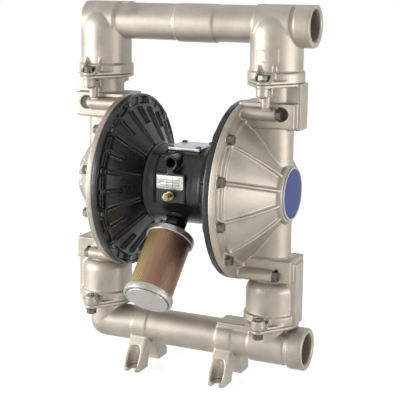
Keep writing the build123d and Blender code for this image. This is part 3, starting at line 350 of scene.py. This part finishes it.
def passivated_mesh():
    """Fine steel mesh with yellow passivation, streaked along the tube: gold on its -x side,
    toward the key lamp, purple brown on its +x side, the passivation's tint and painted shade
    on the side turned from the lamp."""
    material, tree, shader, where = start_material("yellow_passivated_steel_mesh", 0.55)
    shader.inputs["Roughness"].default_value = 0.42
    local = add_node(tree, "ShaderNodeMapping",
                     {"vector_type": "TEXTURE", "Location": EXHAUST, "Rotation": EXHAUST_TURN},
                     {"Vector": where}).outputs["Vector"]
    split = add_node(tree, "ShaderNodeSeparateXYZ", links={"Vector": local})
    around = add_node(tree, "ShaderNodeMath", {"operation": "ARCTAN2"},
                      {0: split.outputs["Y"], 1: split.outputs["X"]}).outputs[0]
    turned = add_node(tree, "ShaderNodeMath", {"operation": "MULTIPLY", 1: MESH_WIRES},
                      {0: around}).outputs[0]
    climb = add_node(tree, "ShaderNodeMath",
                     {"operation": "MULTIPLY", 1: MESH_WIRES / WIRE_RADIUS},
                     {0: split.outputs["Z"]}).outputs[0]
    waves = []
    for sign in ("ADD", "SUBTRACT"):
        phase = add_node(tree, "ShaderNodeMath", {"operation": sign}, {0: turned, 1: climb})
        waves.append(add_node(tree, "ShaderNodeMath", {"operation": "SINE"},
                              {0: phase.outputs[0]}).outputs[0])
    weave = add_node(tree, "ShaderNodeMath", {"operation": "MAXIMUM"},
                     {0: waves[0], 1: waves[1]}).outputs[0]
    # painted shade: the colour darkens from gold on the tube's -x side, toward the key lamp, to
    # brown on its +x side
    across = add_node(tree, "ShaderNodeMapRange",
                      {"From Min": -0.045, "From Max": 0.045}, {"Value": split.outputs["X"]})
    stretched = add_node(tree, "ShaderNodeMapping",
                         {"Scale": (1.0, 1.0, 0.08)}, {"Vector": local}).outputs["Vector"]
    streak = add_node(tree, "ShaderNodeMath", {"operation": "MULTIPLY_ADD", 1: 0.5, 2: -0.25},
                      {0: lumps(tree, stretched, 6)}).outputs[0]
    tint_and_painted_shade = add_node(tree, "ShaderNodeMath", {"operation": "ADD"},
                     {0: across.outputs["Result"], 1: streak}).outputs[0]
    # gold to brown: the passivation's tint, laid out as painted shade across the tube
    stops = [(0.0, "#9C905F"), (0.25, colours().mesh_gold),
             (0.55, "#9C7A60"), (0.9, colours().mesh_brown_and_shade)]
    colour = add_node(tree, "ShaderNodeValToRGB", {"stops": stops},
                      {"Fac": tint_and_painted_shade}).outputs["Color"]
    hole = add_node(tree, "ShaderNodeMapRange",
                    {"From Min": -0.3, "From Max": 0.6, "To Min": 0.25, "To Max": 1.35},
                    {"Value": weave}).outputs["Result"]
    shaded = add_node(tree, "ShaderNodeVectorMath", {"operation": "SCALE"},
                      {0: colour, "Scale": hole}).outputs[0]
    tree.links.new(shaded, shader.inputs["Base Color"])
    relief(tree, shader, [(weave, 0.35, 0.4 * MM)])
    return material


def all_finishes():
    """One material for each slot of the record."""
    made = {slot: plain_finish(*row) for slot, row in PLAIN_FINISHES.items()}
    made.update(cast_stainless=bead_blasted_cast_stainless(),
                black_paint=satin_black_paint(), zinc_bolts=dark_zinc(),
                badge_blue=badge_enamel(), yellow_zinc_mesh=passivated_mesh())
    return made


def finish_of(slot_name):
    """Material of one of the record's slots."""
    return bpy.data.materials[bpy.context.scene["pump_finish_names"][slot_name]]


def slot_of(node):
    """Slot that the record gives a CAD node."""
    for part in frame["record"]["subparts"]:
        if part["node"] == node:
            return part["material_slot"]
    raise RuntimeError(f"no slot for {node}")


def body_of(node):
    """Body that a CAD node belongs to."""
    for body, nodes in frame["record"]["behaviour"]["bodies"].items():
        if node in nodes:
            return body
    raise RuntimeError(f"no body for {node}")


# Piece helpers

def start_clean():
    """Leaves edit mode and deselects everything."""
    if bpy.context.mode != "OBJECT":
        bpy.ops.object.mode_set(mode="OBJECT")
    bpy.ops.object.select_all(action="DESELECT")


def copy_of(node, name):
    """Own copy of a CAD node's mesh with its doubles merged."""
    start_clean()
    source = frame["nodes"][node]
    piece = source.copy()
    piece.data = source.data.copy()
    piece.name = name
    piece.data.name = name
    piece.parent = None
    bpy.context.scene.collection.objects.link(piece)
    piece.select_set(True)
    bpy.context.view_layer.objects.active = piece
    bpy.ops.object.mode_set(mode="EDIT")
    bpy.ops.mesh.select_all(action="SELECT")
    bpy.ops.mesh.remove_doubles(threshold=0.00001)
    bpy.ops.object.mode_set(mode="OBJECT")
    return piece


def apply(piece, kind, **settings):
    """Adds a modifier and applies it."""
    bpy.context.view_layer.objects.active = piece
    modifier = piece.modifiers.new(kind.title(), kind)
    for key, value in settings.items():
        setattr(modifier, key, value)
    bpy.ops.object.modifier_apply(modifier=modifier.name)


def dress(piece, slot_name, body, material=None):
    """Gives a piece its finish, the one of a slot unless another is given, and the body it
    rides on.
    """
    piece.data.materials.clear()
    piece.data.materials.append(material or finish_of(slot_name))
    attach(piece, body)


def join(pieces):
    """Joins pieces into the first one."""
    start_clean()
    for piece in pieces:
        piece.select_set(True)
    bpy.context.view_layer.objects.active = pieces[0]
    bpy.ops.object.join()
    return pieces[0]


def turned_copy(piece, matrix):
    """Copy of a piece with its own mesh, moved by a matrix."""
    twin = piece.copy()
    twin.data = piece.data.copy()
    twin.data.transform(matrix)
    if matrix.determinant() < 0:
        twin.data.flip_normals()
    bpy.context.scene.collection.objects.link(twin)
    return twin


def named(name):
    """Names the piece that an operator has just added."""
    piece = bpy.context.active_object
    piece.name = piece.data.name = name
    return piece


def pick_faces(piece, test):
    """Selects in edit mode the faces whose centre and normal pass a test."""
    bpy.ops.object.mode_set(mode="EDIT")
    bpy.ops.mesh.select_mode(type="FACE")
    bpy.ops.mesh.select_all(action="DESELECT")
    bpy.ops.object.mode_set(mode="OBJECT")
    for face in piece.data.polygons:
        face.select = test(face.center, face.normal)
    bpy.ops.object.mode_set(mode="EDIT")


def raise_faces(height):
    """Extrudes the selected faces along their normals."""
    bpy.ops.mesh.extrude_region_shrink_fatten(TRANSFORM_OT_shrink_fatten={"value": height})


def settle(piece, degrees=35):
    """Puts a piece's place into its mesh and smooths it up to an angle."""
    start_clean()
    piece.select_set(True)
    bpy.context.view_layer.objects.active = piece
    bpy.ops.object.transform_apply(location=True, rotation=True, scale=True)
    bpy.ops.object.shade_smooth_by_angle(angle=math.radians(degrees))


def about_shaft(angle):
    """Turn about the shaft's axis."""
    lift = Matrix.Translation((0, 0, SHAFT_Z))
    return lift @ Matrix.Rotation(angle, 4, "X") @ lift.inverted()


def along_exhaust(distance):
    """Point on the exhaust line."""
    return Vector(EXHAUST) + Matrix.Rotation(EXHAUST_TURN[0], 3, "X") @ Vector((0, 0, distance))


def cylinder(name, vertices, radius, low, high):
    """Upright cylinder between two heights, with its place in its mesh."""
    start_clean()
    bpy.ops.mesh.primitive_cylinder_add(vertices=vertices, radius=radius, depth=high - low,
                                        location=(0, 0, (low + high) / 2))
    piece = named(name)
    bpy.ops.object.transform_apply(location=True, rotation=True, scale=True)
    return piece


# Parts of the pump

def rib_beads(side):
    """Round crests of the eight dome ribs on one side, spun along the dome's arc."""
    foot, mid, top = (Vector(point) * MM for point in DOME_ARC)
    a, b = mid - foot, top - foot
    cross = a.x * b.y - a.y * b.x
    hub = foot + Vector((b.y * a.length_squared - a.y * b.length_squared,
                         a.x * b.length_squared - b.x * a.length_squared)) / (2 * cross)
    start_clean()
    bpy.ops.mesh.primitive_circle_add(vertices=12, radius=sizes().rib_width / 2,
                                      fill_type="NGON")
    bead = named("dome_rib_bead")
    along = (foot - hub).normalized()
    place = Matrix.Translation((foot.x, -foot.y, SHAFT_Z)) @ Matrix(
        ((along.x, 0, 0, 0), (-along.y, 0, 0, 0), (0, 1, 0, 0), (0, 0, 0, 1)))
    bead.data.transform(place)
    bpy.ops.object.mode_set(mode="EDIT")
    bpy.ops.mesh.select_all(action="SELECT")
    bpy.ops.mesh.spin(steps=18, angle=-(foot - hub).angle_signed(top - hub),
                      center=(hub.x, -hub.y, SHAFT_Z), axis=(0, 0, 1))
    bpy.ops.mesh.select_all(action="SELECT")
    bpy.ops.mesh.normals_make_consistent(inside=False)
    start_clean()
    flip = Matrix.Scale(-1, 4, (1, 0, 0)) if side == "left" else Matrix.Identity(4)
    beads = [turned_copy(bead, flip @ about_shaft(-math.radians(angle)))
             for angle in RIB_ANGLES]
    bpy.data.objects.remove(bead)
    return beads


def cast_skin(node, extra=()):
    """Skin of a casting: every edge and corner softened as the mould leaves it."""
    piece = join([copy_of(node, node + "_casting"), *extra])
    apply(piece, "REMESH", mode="VOXEL", voxel_size=sizes().cast_step)
    apply(piece, "SMOOTH", factor=0.5, iterations=sizes().cast_smooth)
    faces = len(piece.data.polygons)
    if faces > SKIN_FACES:
        apply(piece, "DECIMATE", ratio=SKIN_FACES / faces)
    bpy.ops.object.shade_smooth()
    dress(piece, slot_of(node), body_of(node))
    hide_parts(node)


def eased(node, width=None):
    """Copy of a machined or formed piece with its sharp edges eased."""
    piece = copy_of(node, node + "_eased")
    apply(piece, "BEVEL", width=width or sizes().edge_round, segments=2,
          limit_method="ANGLE", angle_limit=math.radians(32), harden_normals=False)
    bpy.ops.object.shade_smooth_by_angle(angle=math.radians(35))
    dress(piece, slot_of(node), body_of(node))
    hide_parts(node)


def solid_boxes(node):
    """Lowest and highest corner of each separate solid of a CAD node."""
    copy_of(node, node + "_loose")
    bpy.ops.object.mode_set(mode="EDIT")
    bpy.ops.mesh.separate(type="LOOSE")
    bpy.ops.object.mode_set(mode="OBJECT")
    boxes = []
    for part in list(bpy.context.selected_objects):
        corners = [Vector(corner) for corner in part.bound_box]
        boxes.append([Vector(pick(c[i] for c in corners) for i in range(3))
                      for pick in (min, max)])
        bpy.data.objects.remove(part)
    return sorted(boxes, key=lambda box: tuple(round(v, 4) for v in box[0]))


def flange_bolt(length):
    """M10 flange bolt: head and washer face from z = 0 up, shank of a length below."""
    chamfer, dish_inset, dish_depth = 0.9 * MM, 1.6 * MM, 0.5 * MM
    washer_height, washer_round, tip_round = 2.2 * MM, 1.0 * MM, 1.4 * MM
    tall = sizes().head_height
    head = cylinder("flange_bolt_head", 6, sizes().head_flats / math.sqrt(3), 0, tall)
    pick_faces(head, lambda centre, normal: normal.z > 0.9)
    bpy.ops.mesh.bevel(offset=chamfer, segments=2, affect="EDGES")
    pick_faces(head, lambda centre, normal: normal.z > 0.99 and centre.z > tall - 0.1 * MM)
    bpy.ops.mesh.inset(thickness=dish_inset)
    raise_faces(-dish_depth)
    washer = cylinder("flange_bolt_washer", 40, sizes().washer_radius, 0, washer_height)
    pick_faces(washer, lambda centre, normal: normal.z > 0.9)
    bpy.ops.mesh.bevel(offset=washer_round, segments=3, affect="EDGES")
    shank = cylinder("flange_bolt_shank", 24, SHANK_RADIUS, -length, 0)
    pick_faces(shank, lambda centre, normal: normal.z < -0.9)
    bpy.ops.mesh.bevel(offset=tip_round, segments=3, affect="EDGES")
    return join([head, washer, shank])


def flange_bolts(node, way):
    """Bolts of one node, heads out, up or down, each turned as it was tightened."""
    ways = {"up": Vector((0, 0, 1)), "down": Vector((0, 0, -1))}
    first = None
    bolts = []
    for count, (low, high) in enumerate(solid_boxes(node)):
        middle = (low + high) / 2
        out = ways.get(way) or Vector((math.copysign(1, middle.x), 0, 0))
        whole = abs((high - low).dot(out))
        if first is None:
            first = flange_bolt(whole - CAD_HEAD)
        turn = (out.to_track_quat("Z", "Y").to_matrix().to_4x4()
                @ Matrix.Rotation(math.radians(BOLT_TURN * count), 4, "Z"))
        face = middle + out * (whole / 2 - CAD_HEAD)
        bolts.append(turned_copy(first, Matrix.Translation(face) @ turn))
    bpy.data.objects.remove(first)
    piece = join(bolts)
    piece.name = piece.data.name = node + "_full"
    settle(piece)
    dress(piece, slot_of(node), body_of(node))
    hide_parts(node)


def badge(side, turn):
    """Silver rim in the CAD badge's place, and a slightly domed blue face in it."""
    node = "badge_" + side
    sunk, face_thick, gap = 0.9 * MM, 0.4 * MM, 0.15 * MM
    low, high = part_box(node)
    middle = (low + high) / 2
    radius, thick = (high.y - low.y) / 2, high.x - low.x
    facing = (0, math.radians(turn), 0)
    start_clean()
    bpy.ops.mesh.primitive_cylinder_add(vertices=128, radius=radius, depth=thick,
                                        location=middle, rotation=facing)
    rim = named(node + "_rim")
    pick_faces(rim, lambda centre, normal: normal.z > 0.9)
    bpy.ops.mesh.inset(thickness=sizes().badge_rim)
    raise_faces(-sunk)
    start_clean()
    apply(rim, "BEVEL", width=0.5 * MM, segments=3, limit_method="ANGLE")
    settle(rim)
    dress(rim, "badge_blue", "pump_body", finish_of("zinc_caps"))
    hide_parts(node)

    start_clean()
    face_x = middle.x + math.copysign(thick / 2 - sunk + face_thick / 2, middle.x)
    bpy.ops.mesh.primitive_cylinder_add(
        vertices=128, radius=radius - sizes().badge_rim - gap, depth=face_thick,
        location=(face_x, middle.y, middle.z), rotation=facing)
    face = named(node + "_face")
    pick_faces(face, lambda centre, normal: normal.z > 0.9)
    for inset, rise in ((1.2, 0.22), (5.0, 0.12), (10.0, 0.08), (14.0, 0.04)):
        bpy.ops.mesh.inset(thickness=inset * MM)
        bpy.ops.transform.shrink_fatten(value=rise * MM)
    start_clean()
    settle(face, 60)
    dress(face, "badge_blue", "pump_body")


def muffler_mesh():
    """Mesh tube with the strip where its sheet laps."""
    start_clean()
    bpy.ops.mesh.primitive_cylinder_add(
        vertices=96, radius=MESH_RADIUS, depth=MESH_LENGTH, end_fill_type="NOTHING",
        location=along_exhaust(MESH_MIDDLE), rotation=EXHAUST_TURN)
    tube = named("muffler_tube_mesh")
    seam, half_lap = math.radians(sizes().seam_angle), math.radians(6)
    pick_faces(tube, lambda centre, normal:
               abs(math.atan2(centre.y, centre.x) - seam) < half_lap)
    raise_faces(0.3 * MM)
    start_clean()
    apply(tube, "SOLIDIFY", thickness=1.2 * MM, offset=-1)
    settle(tube)
    dress(tube, "yellow_zinc_mesh", "pump_body")
    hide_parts("muffler_tube")


def thread(mount_name):
    """Helical thread line on the wall of a port, wound from a thin band across the axis."""
    mount = next(m for m in frame["record"]["mounts"] if m["name"] == mount_name)
    radius, length = mount["dims"]["r_mm"] * MM, mount["dims"]["length_mm"] * MM
    axis = Vector(mount["axis"])
    pitch = sizes().thread_pitch
    start_clean()
    bpy.ops.mesh.primitive_circle_add(vertices=3, radius=0.62 * pitch, fill_type="NOTHING")
    coil = named(mount_name + "_thread")
    bpy.ops.object.mode_set(mode="EDIT")
    bpy.ops.mesh.select_all(action="SELECT")
    bpy.ops.transform.translate(value=(radius - 0.05 * pitch, 0, 0))
    start_clean()
    turns = int(length / pitch) - 1
    apply(coil, "SCREW", axis="Z", angle=2 * math.pi, screw_offset=pitch, iterations=turns,
          steps=48, render_steps=48, use_merge_vertices=True, use_normal_calculate=True)
    coil.rotation_euler = axis.to_track_quat("Z", "Y").to_euler()
    coil.location = Vector(mount["pos_m"]) - axis * (turns * pitch / 2)
    settle(coil, 20)
    if mount_name == "air_inlet":
        dress(coil, "black_paint", "pump_body", bpy.data.materials["machined_black"])
    else:
        dress(coil, "cast_stainless", "pump_body", bpy.data.materials["machined_stainless"])


def name_plate():
    """Pale plate with blank ruled boxes between its two rivets."""
    eased("nameplate", 0.2 * MM)
    low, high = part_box("nameplate")
    middle = (low + high) / 2
    start_clean()
    bpy.ops.mesh.primitive_grid_add(x_subdivisions=3, y_subdivisions=4, size=1,
                                    location=(middle.x, low.y, middle.z),
                                    rotation=(math.radians(90), 0, 0))
    rules = named("nameplate_rules")
    rules.scale = (*PLATE_RULES, 1)
    bpy.ops.object.transform_apply(location=False, rotation=False, scale=True)
    bpy.ops.object.mode_set(mode="EDIT")
    bpy.ops.mesh.select_mode(type="FACE")
    bpy.ops.mesh.select_all(action="SELECT")
    bpy.ops.mesh.inset(thickness=sizes().plate_rule, use_individual=True)
    bpy.ops.mesh.delete(type="FACE")
    start_clean()
    apply(rules, "SOLIDIFY", thickness=0.12 * MM, offset=1)
    settle(rules)
    dress(rules, "plate_foil", "pump_body", bpy.data.materials["printed_grey_ink"])


def flexing_diaphragm(node):
    """Diaphragm cut into sectors round the shaft.

    Each sector is cut from the whole by two planes through the shaft's axis and turned into its
    place round the shaft, so the ring stays closed.
    """
    slot_name, body = slot_of(node), body_of(node)
    half = math.pi / DIAPHRAGM_SECTORS
    whole = copy_of(node, node + "_whole")
    for side in (1, -1):
        bpy.ops.object.mode_set(mode="EDIT")
        bpy.ops.mesh.select_all(action="SELECT")
        bpy.ops.mesh.bisect(plane_co=(0, 0, SHAFT_Z),
                            plane_no=(0, side * math.cos(half), -math.sin(half)),
                            use_fill=True, clear_outer=True)
        bpy.ops.object.mode_set(mode="OBJECT")
    for count in range(DIAPHRAGM_SECTORS):
        turn = about_shaft(2 * half * count)
        sector = turned_copy(whole, turn)
        sector.name = sector.data.name = f"{node}_sector_{count:02d}"
        sector.data.materials.clear()
        sector.data.materials.append(finish_of(slot_name))
        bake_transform(sector)
        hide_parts(node)
    bpy.data.objects.remove(whole)


# Studio

def seen_rays(tree):
    """1 for the camera, glossy and transmission rays that see the backdrop, else 0."""
    rays = add_node(tree, "ShaderNodeLightPath").outputs
    seen = add_node(tree, "ShaderNodeMath", {"operation": "MAXIMUM"},
                    {0: rays["Is Camera Ray"], 1: rays["Is Glossy Ray"]})
    return add_node(tree, "ShaderNodeMath", {"operation": "MAXIMUM"},
                    {0: seen.outputs[0], 1: rays["Is Transmission Ray"]}).outputs[0]


def studio_floor():
    """Pale satin floor that reads white to the eye and keeps the shadow."""
    start_clean()
    bpy.ops.mesh.primitive_plane_add(size=9.0, location=(0, 0, -0.4 * MM))
    floor = named("studio_floor")
    material = bpy.data.materials.new("pale_studio_floor")
    material.use_nodes = True
    tree = material.node_tree
    tree.nodes.clear()
    where = add_node(tree, "ShaderNodeTexCoord").outputs["Object"]
    far = add_node(tree, "ShaderNodeVectorMath", {"operation": "LENGTH"}, {0: where})
    level = add_node(tree, "ShaderNodeMapRange",
                     {"From Min": 0.5, "From Max": 1.6, "To Min": 0.90, "To Max": 1.0},
                     {"Value": far.outputs["Value"]})
    matte = add_node(tree, "ShaderNodeBsdfDiffuse", {"Color": linear(colours().floor)})
    glow = add_node(tree, "ShaderNodeEmission", {"Color": (1, 1, 1, 1)},
                    {"Strength": level.outputs["Result"]})
    sheen = add_node(tree, "ShaderNodeBsdfAnisotropic",
                     {"Color": (1, 1, 1, 1), "Roughness": 0.12})
    polished = add_node(tree, "ShaderNodeMixShader", {"Fac": 0.07},
                        {1: glow.outputs[0], 2: sheen.outputs[0]})
    lit = add_node(tree, "ShaderNodeAddShader",
                   links={0: matte.outputs[0], 1: polished.outputs[0]})
    mixed = add_node(tree, "ShaderNodeMixShader", links={
        "Fac": seen_rays(tree), 1: matte.outputs[0], 2: lit.outputs[0]})
    add_node(tree, "ShaderNodeOutputMaterial", links={"Surface": mixed.outputs[0]})
    floor.data.materials.append(material)


def surroundings():
    """White to the eye and in reflections, and a dim soft light on everything else."""
    world = bpy.data.worlds.new("studio_surroundings")
    bpy.context.scene.world = world
    world.use_nodes = True
    tree = world.node_tree
    tree.nodes.clear()
    dim, white = (add_node(tree, "ShaderNodeBackground",
                           {"Color": (1, 1, 1, 1), "Strength": strength})
                  for strength in (0.10, 1.0))
    mixed = add_node(tree, "ShaderNodeMixShader", links={
        "Fac": seen_rays(tree), 1: dim.outputs[0], 2: white.outputs[0]})
    add_node(tree, "ShaderNodeOutputWorld", links={"Surface": mixed.outputs[0]})


def lamps():
    """Soft boxes that aim at the middle of the pump."""
    for name, place, wide, tall, watts in LAMPS:
        start_clean()
        bpy.ops.object.light_add(type="AREA", location=place)
        lamp = named(name)
        lamp.data.shape = "RECTANGLE"
        lamp.data.size, lamp.data.size_y = wide, tall
        lamp.data.energy = watts
        aim = Vector((0, 0, SHAFT_Z)) - Vector(place)
        lamp.rotation_euler = aim.to_track_quat("-Z", "Y").to_euler()


def photo_camera():
    """Camera in the photograph's place, solved from points of the CAD model."""
    start_clean()
    bpy.ops.object.camera_add()
    camera = named("photo_camera")
    right = Vector((math.cos(CAMERA_YAW), math.sin(CAMERA_YAW), 0))
    ahead = Vector((-math.sin(CAMERA_YAW), math.cos(CAMERA_YAW), 0))
    up = Vector((0, 0, 1))
    forward = ahead * math.cos(CAMERA_PITCH) - up * math.sin(CAMERA_PITCH)
    raised = up * math.cos(CAMERA_PITCH) + ahead * math.sin(CAMERA_PITCH)
    across = right * math.cos(CAMERA_ROLL) + raised * math.sin(CAMERA_ROLL)
    above = raised * math.cos(CAMERA_ROLL) - right * math.sin(CAMERA_ROLL)
    camera.rotation_euler = Matrix((across, above, -forward)).transposed().to_euler()
    camera.location = CAMERA_PLACE
    camera.data.sensor_width = SENSOR
    camera.data.lens = LENS_PIXELS / PICTURE_PIXELS * SENSOR
    camera.data.shift_x, camera.data.shift_y = CAMERA_SHIFT
    camera.data.clip_end = 50.0
    bpy.context.scene.camera = camera


# Operators

class PumpStep(bpy.types.Operator):
    """Base of the pump's operators"""

    bl_options = {"REGISTER", "UNDO"}


class PUMP_OT_finishes(PumpStep):
    """Makes every finish and gives it to the CAD nodes"""

    bl_idname = "pump.finishes"
    bl_label = "Finishes"

    def execute(self, context):
        made = all_finishes()
        for row in EXTRA_FINISHES:
            plain_finish(*row)
        context.scene["pump_finish_names"] = {slot: m.name for slot, m in made.items()}
        for node, piece in frame["nodes"].items():
            material = made[slot_of(node)]
            for place in piece.material_slots:
                place.material = material
            if not piece.material_slots:
                piece.data.materials.append(material)
        return {"FINISHED"}


class PUMP_OT_castings(PumpStep):
    """Skins of the fluid covers, manifolds and the black air section"""

    bl_idname = "pump.castings"
    bl_label = "Castings"

    def execute(self, context):
        for side in ("right", "left"):
            cast_skin("fluid_cover_" + side, rib_beads(side))
        for node in ("outlet_manifold", "inlet_manifold", "air_cover_right",
                     "air_cover_left", "centre_housing"):
            cast_skin(node)
        return {"FINISHED"}


class PUMP_OT_fasteners(PumpStep):
    """Flange bolts with washer faces, and screws with eased edges"""

    bl_idname = "pump.fasteners"
    bl_label = "Fasteners"

    def execute(self, context):
        for node, way in (("rim_bolts", "out"), ("tower_bolts", "out"),
                          ("outlet_flange_bolts", "up"), ("inlet_flange_bolts", "down")):
            flange_bolts(node, way)
        for node in ("air_cover_screws", "valve_cover_screws", "earth_screw"):
            eased(node)
        return {"FINISHED"}


class PUMP_OT_badges(PumpStep):
    """Round badges: a silver rim round a slightly domed blue face"""

    bl_idname = "pump.badges"
    bl_label = "Badges"

    def execute(self, context):
        for side, turn in (("right", 90), ("left", -90)):
            badge(side, turn)
        return {"FINISHED"}


class PUMP_OT_ports(PumpStep):
    """Thread lines on the walls of the fluid ports and the air inlet"""

    bl_idname = "pump.ports"
    bl_label = "Port threads"

    def execute(self, context):
        for mount in ("outlet_port", "inlet_port", "air_inlet"):
            thread(mount)
        return {"FINISHED"}


class PUMP_OT_muffler(PumpStep):
    """Mesh tube of the muffler with its lapped seam, and caps with rolled edges"""

    bl_idname = "pump.muffler"
    bl_label = "Muffler"

    def execute(self, context):
        muffler_mesh()
        for node in ("muffler_top_cap", "muffler_bottom_cap", "exhaust_fitting"):
            eased(node, 0.5 * MM)
        return {"FINISHED"}


class PUMP_OT_diaphragms(PumpStep):
    """Diaphragms cut into sectors round the shaft"""

    bl_idname = "pump.diaphragms"
    bl_label = "Diaphragms"

    def execute(self, context):
        for node in ("diaphragm_left", "diaphragm_right"):
            flexing_diaphragm(node)
        return {"FINISHED"}


class PUMP_OT_small_parts(PumpStep):
    """Valve cover, gasket, name plate, rivets and earth washer with eased edges"""

    bl_idname = "pump.small_parts"
    bl_label = "Small parts"

    def execute(self, context):
        for node in ("valve_cover", "valve_gasket", "nameplate_rivets", "earth_washer"):
            eased(node)
        name_plate()
        return {"FINISHED"}


class PUMP_OT_stage(PumpStep):
    """Pale floor, soft lamps, white surroundings and the photograph's camera"""

    bl_idname = "pump.stage"
    bl_label = "Stage"

    def execute(self, context):
        studio_floor()
        surroundings()
        lamps()
        photo_camera()
        context.scene.view_settings.view_transform = "Standard"
        return {"FINISHED"}


class PUMP_PT_sidebar(bpy.types.Panel):
    """Lists the pump's operators in order"""

    bl_label = "Diaphragm pump"
    bl_space_type = "VIEW_3D"
    bl_region_type = "UI"
    bl_category = "Pump"

    def draw(self, context):
        for group in (context.scene.pump_sizes, context.scene.pump_colours):
            box = self.layout.box()
            for key in group.__annotations__:
                box.prop(group, key)
        for step in STEPS:
            self.layout.operator(step.bl_idname)


STEPS = (PUMP_OT_finishes, PUMP_OT_castings, PUMP_OT_fasteners, PUMP_OT_badges,
         PUMP_OT_ports, PUMP_OT_muffler, PUMP_OT_small_parts, PUMP_OT_diaphragms,
         PUMP_OT_stage)
CLASSES = (PumpSizes, PumpColours, *STEPS, PUMP_PT_sidebar)


def register():
    """Adds the operators, the panel and the settings."""
    for item in CLASSES:
        bpy.utils.register_class(item)
    bpy.types.Scene.pump_sizes = bpy.props.PointerProperty(type=PumpSizes)
    bpy.types.Scene.pump_colours = bpy.props.PointerProperty(type=PumpColours)


def unregister():
    """Takes out what register adds."""
    del bpy.types.Scene.pump_colours
    del bpy.types.Scene.pump_sizes
    for item in reversed(CLASSES):
        bpy.utils.unregister_class(item)


def main():
    register()
    bpy.ops.pump.finishes()
    bpy.ops.pump.castings()
    bpy.ops.pump.fasteners()
    bpy.ops.pump.badges()
    bpy.ops.pump.ports()
    bpy.ops.pump.muffler()
    bpy.ops.pump.small_parts()
    bpy.ops.pump.diaphragms()
    bpy.ops.pump.stage()


if __name__ == "__main__":
    main()
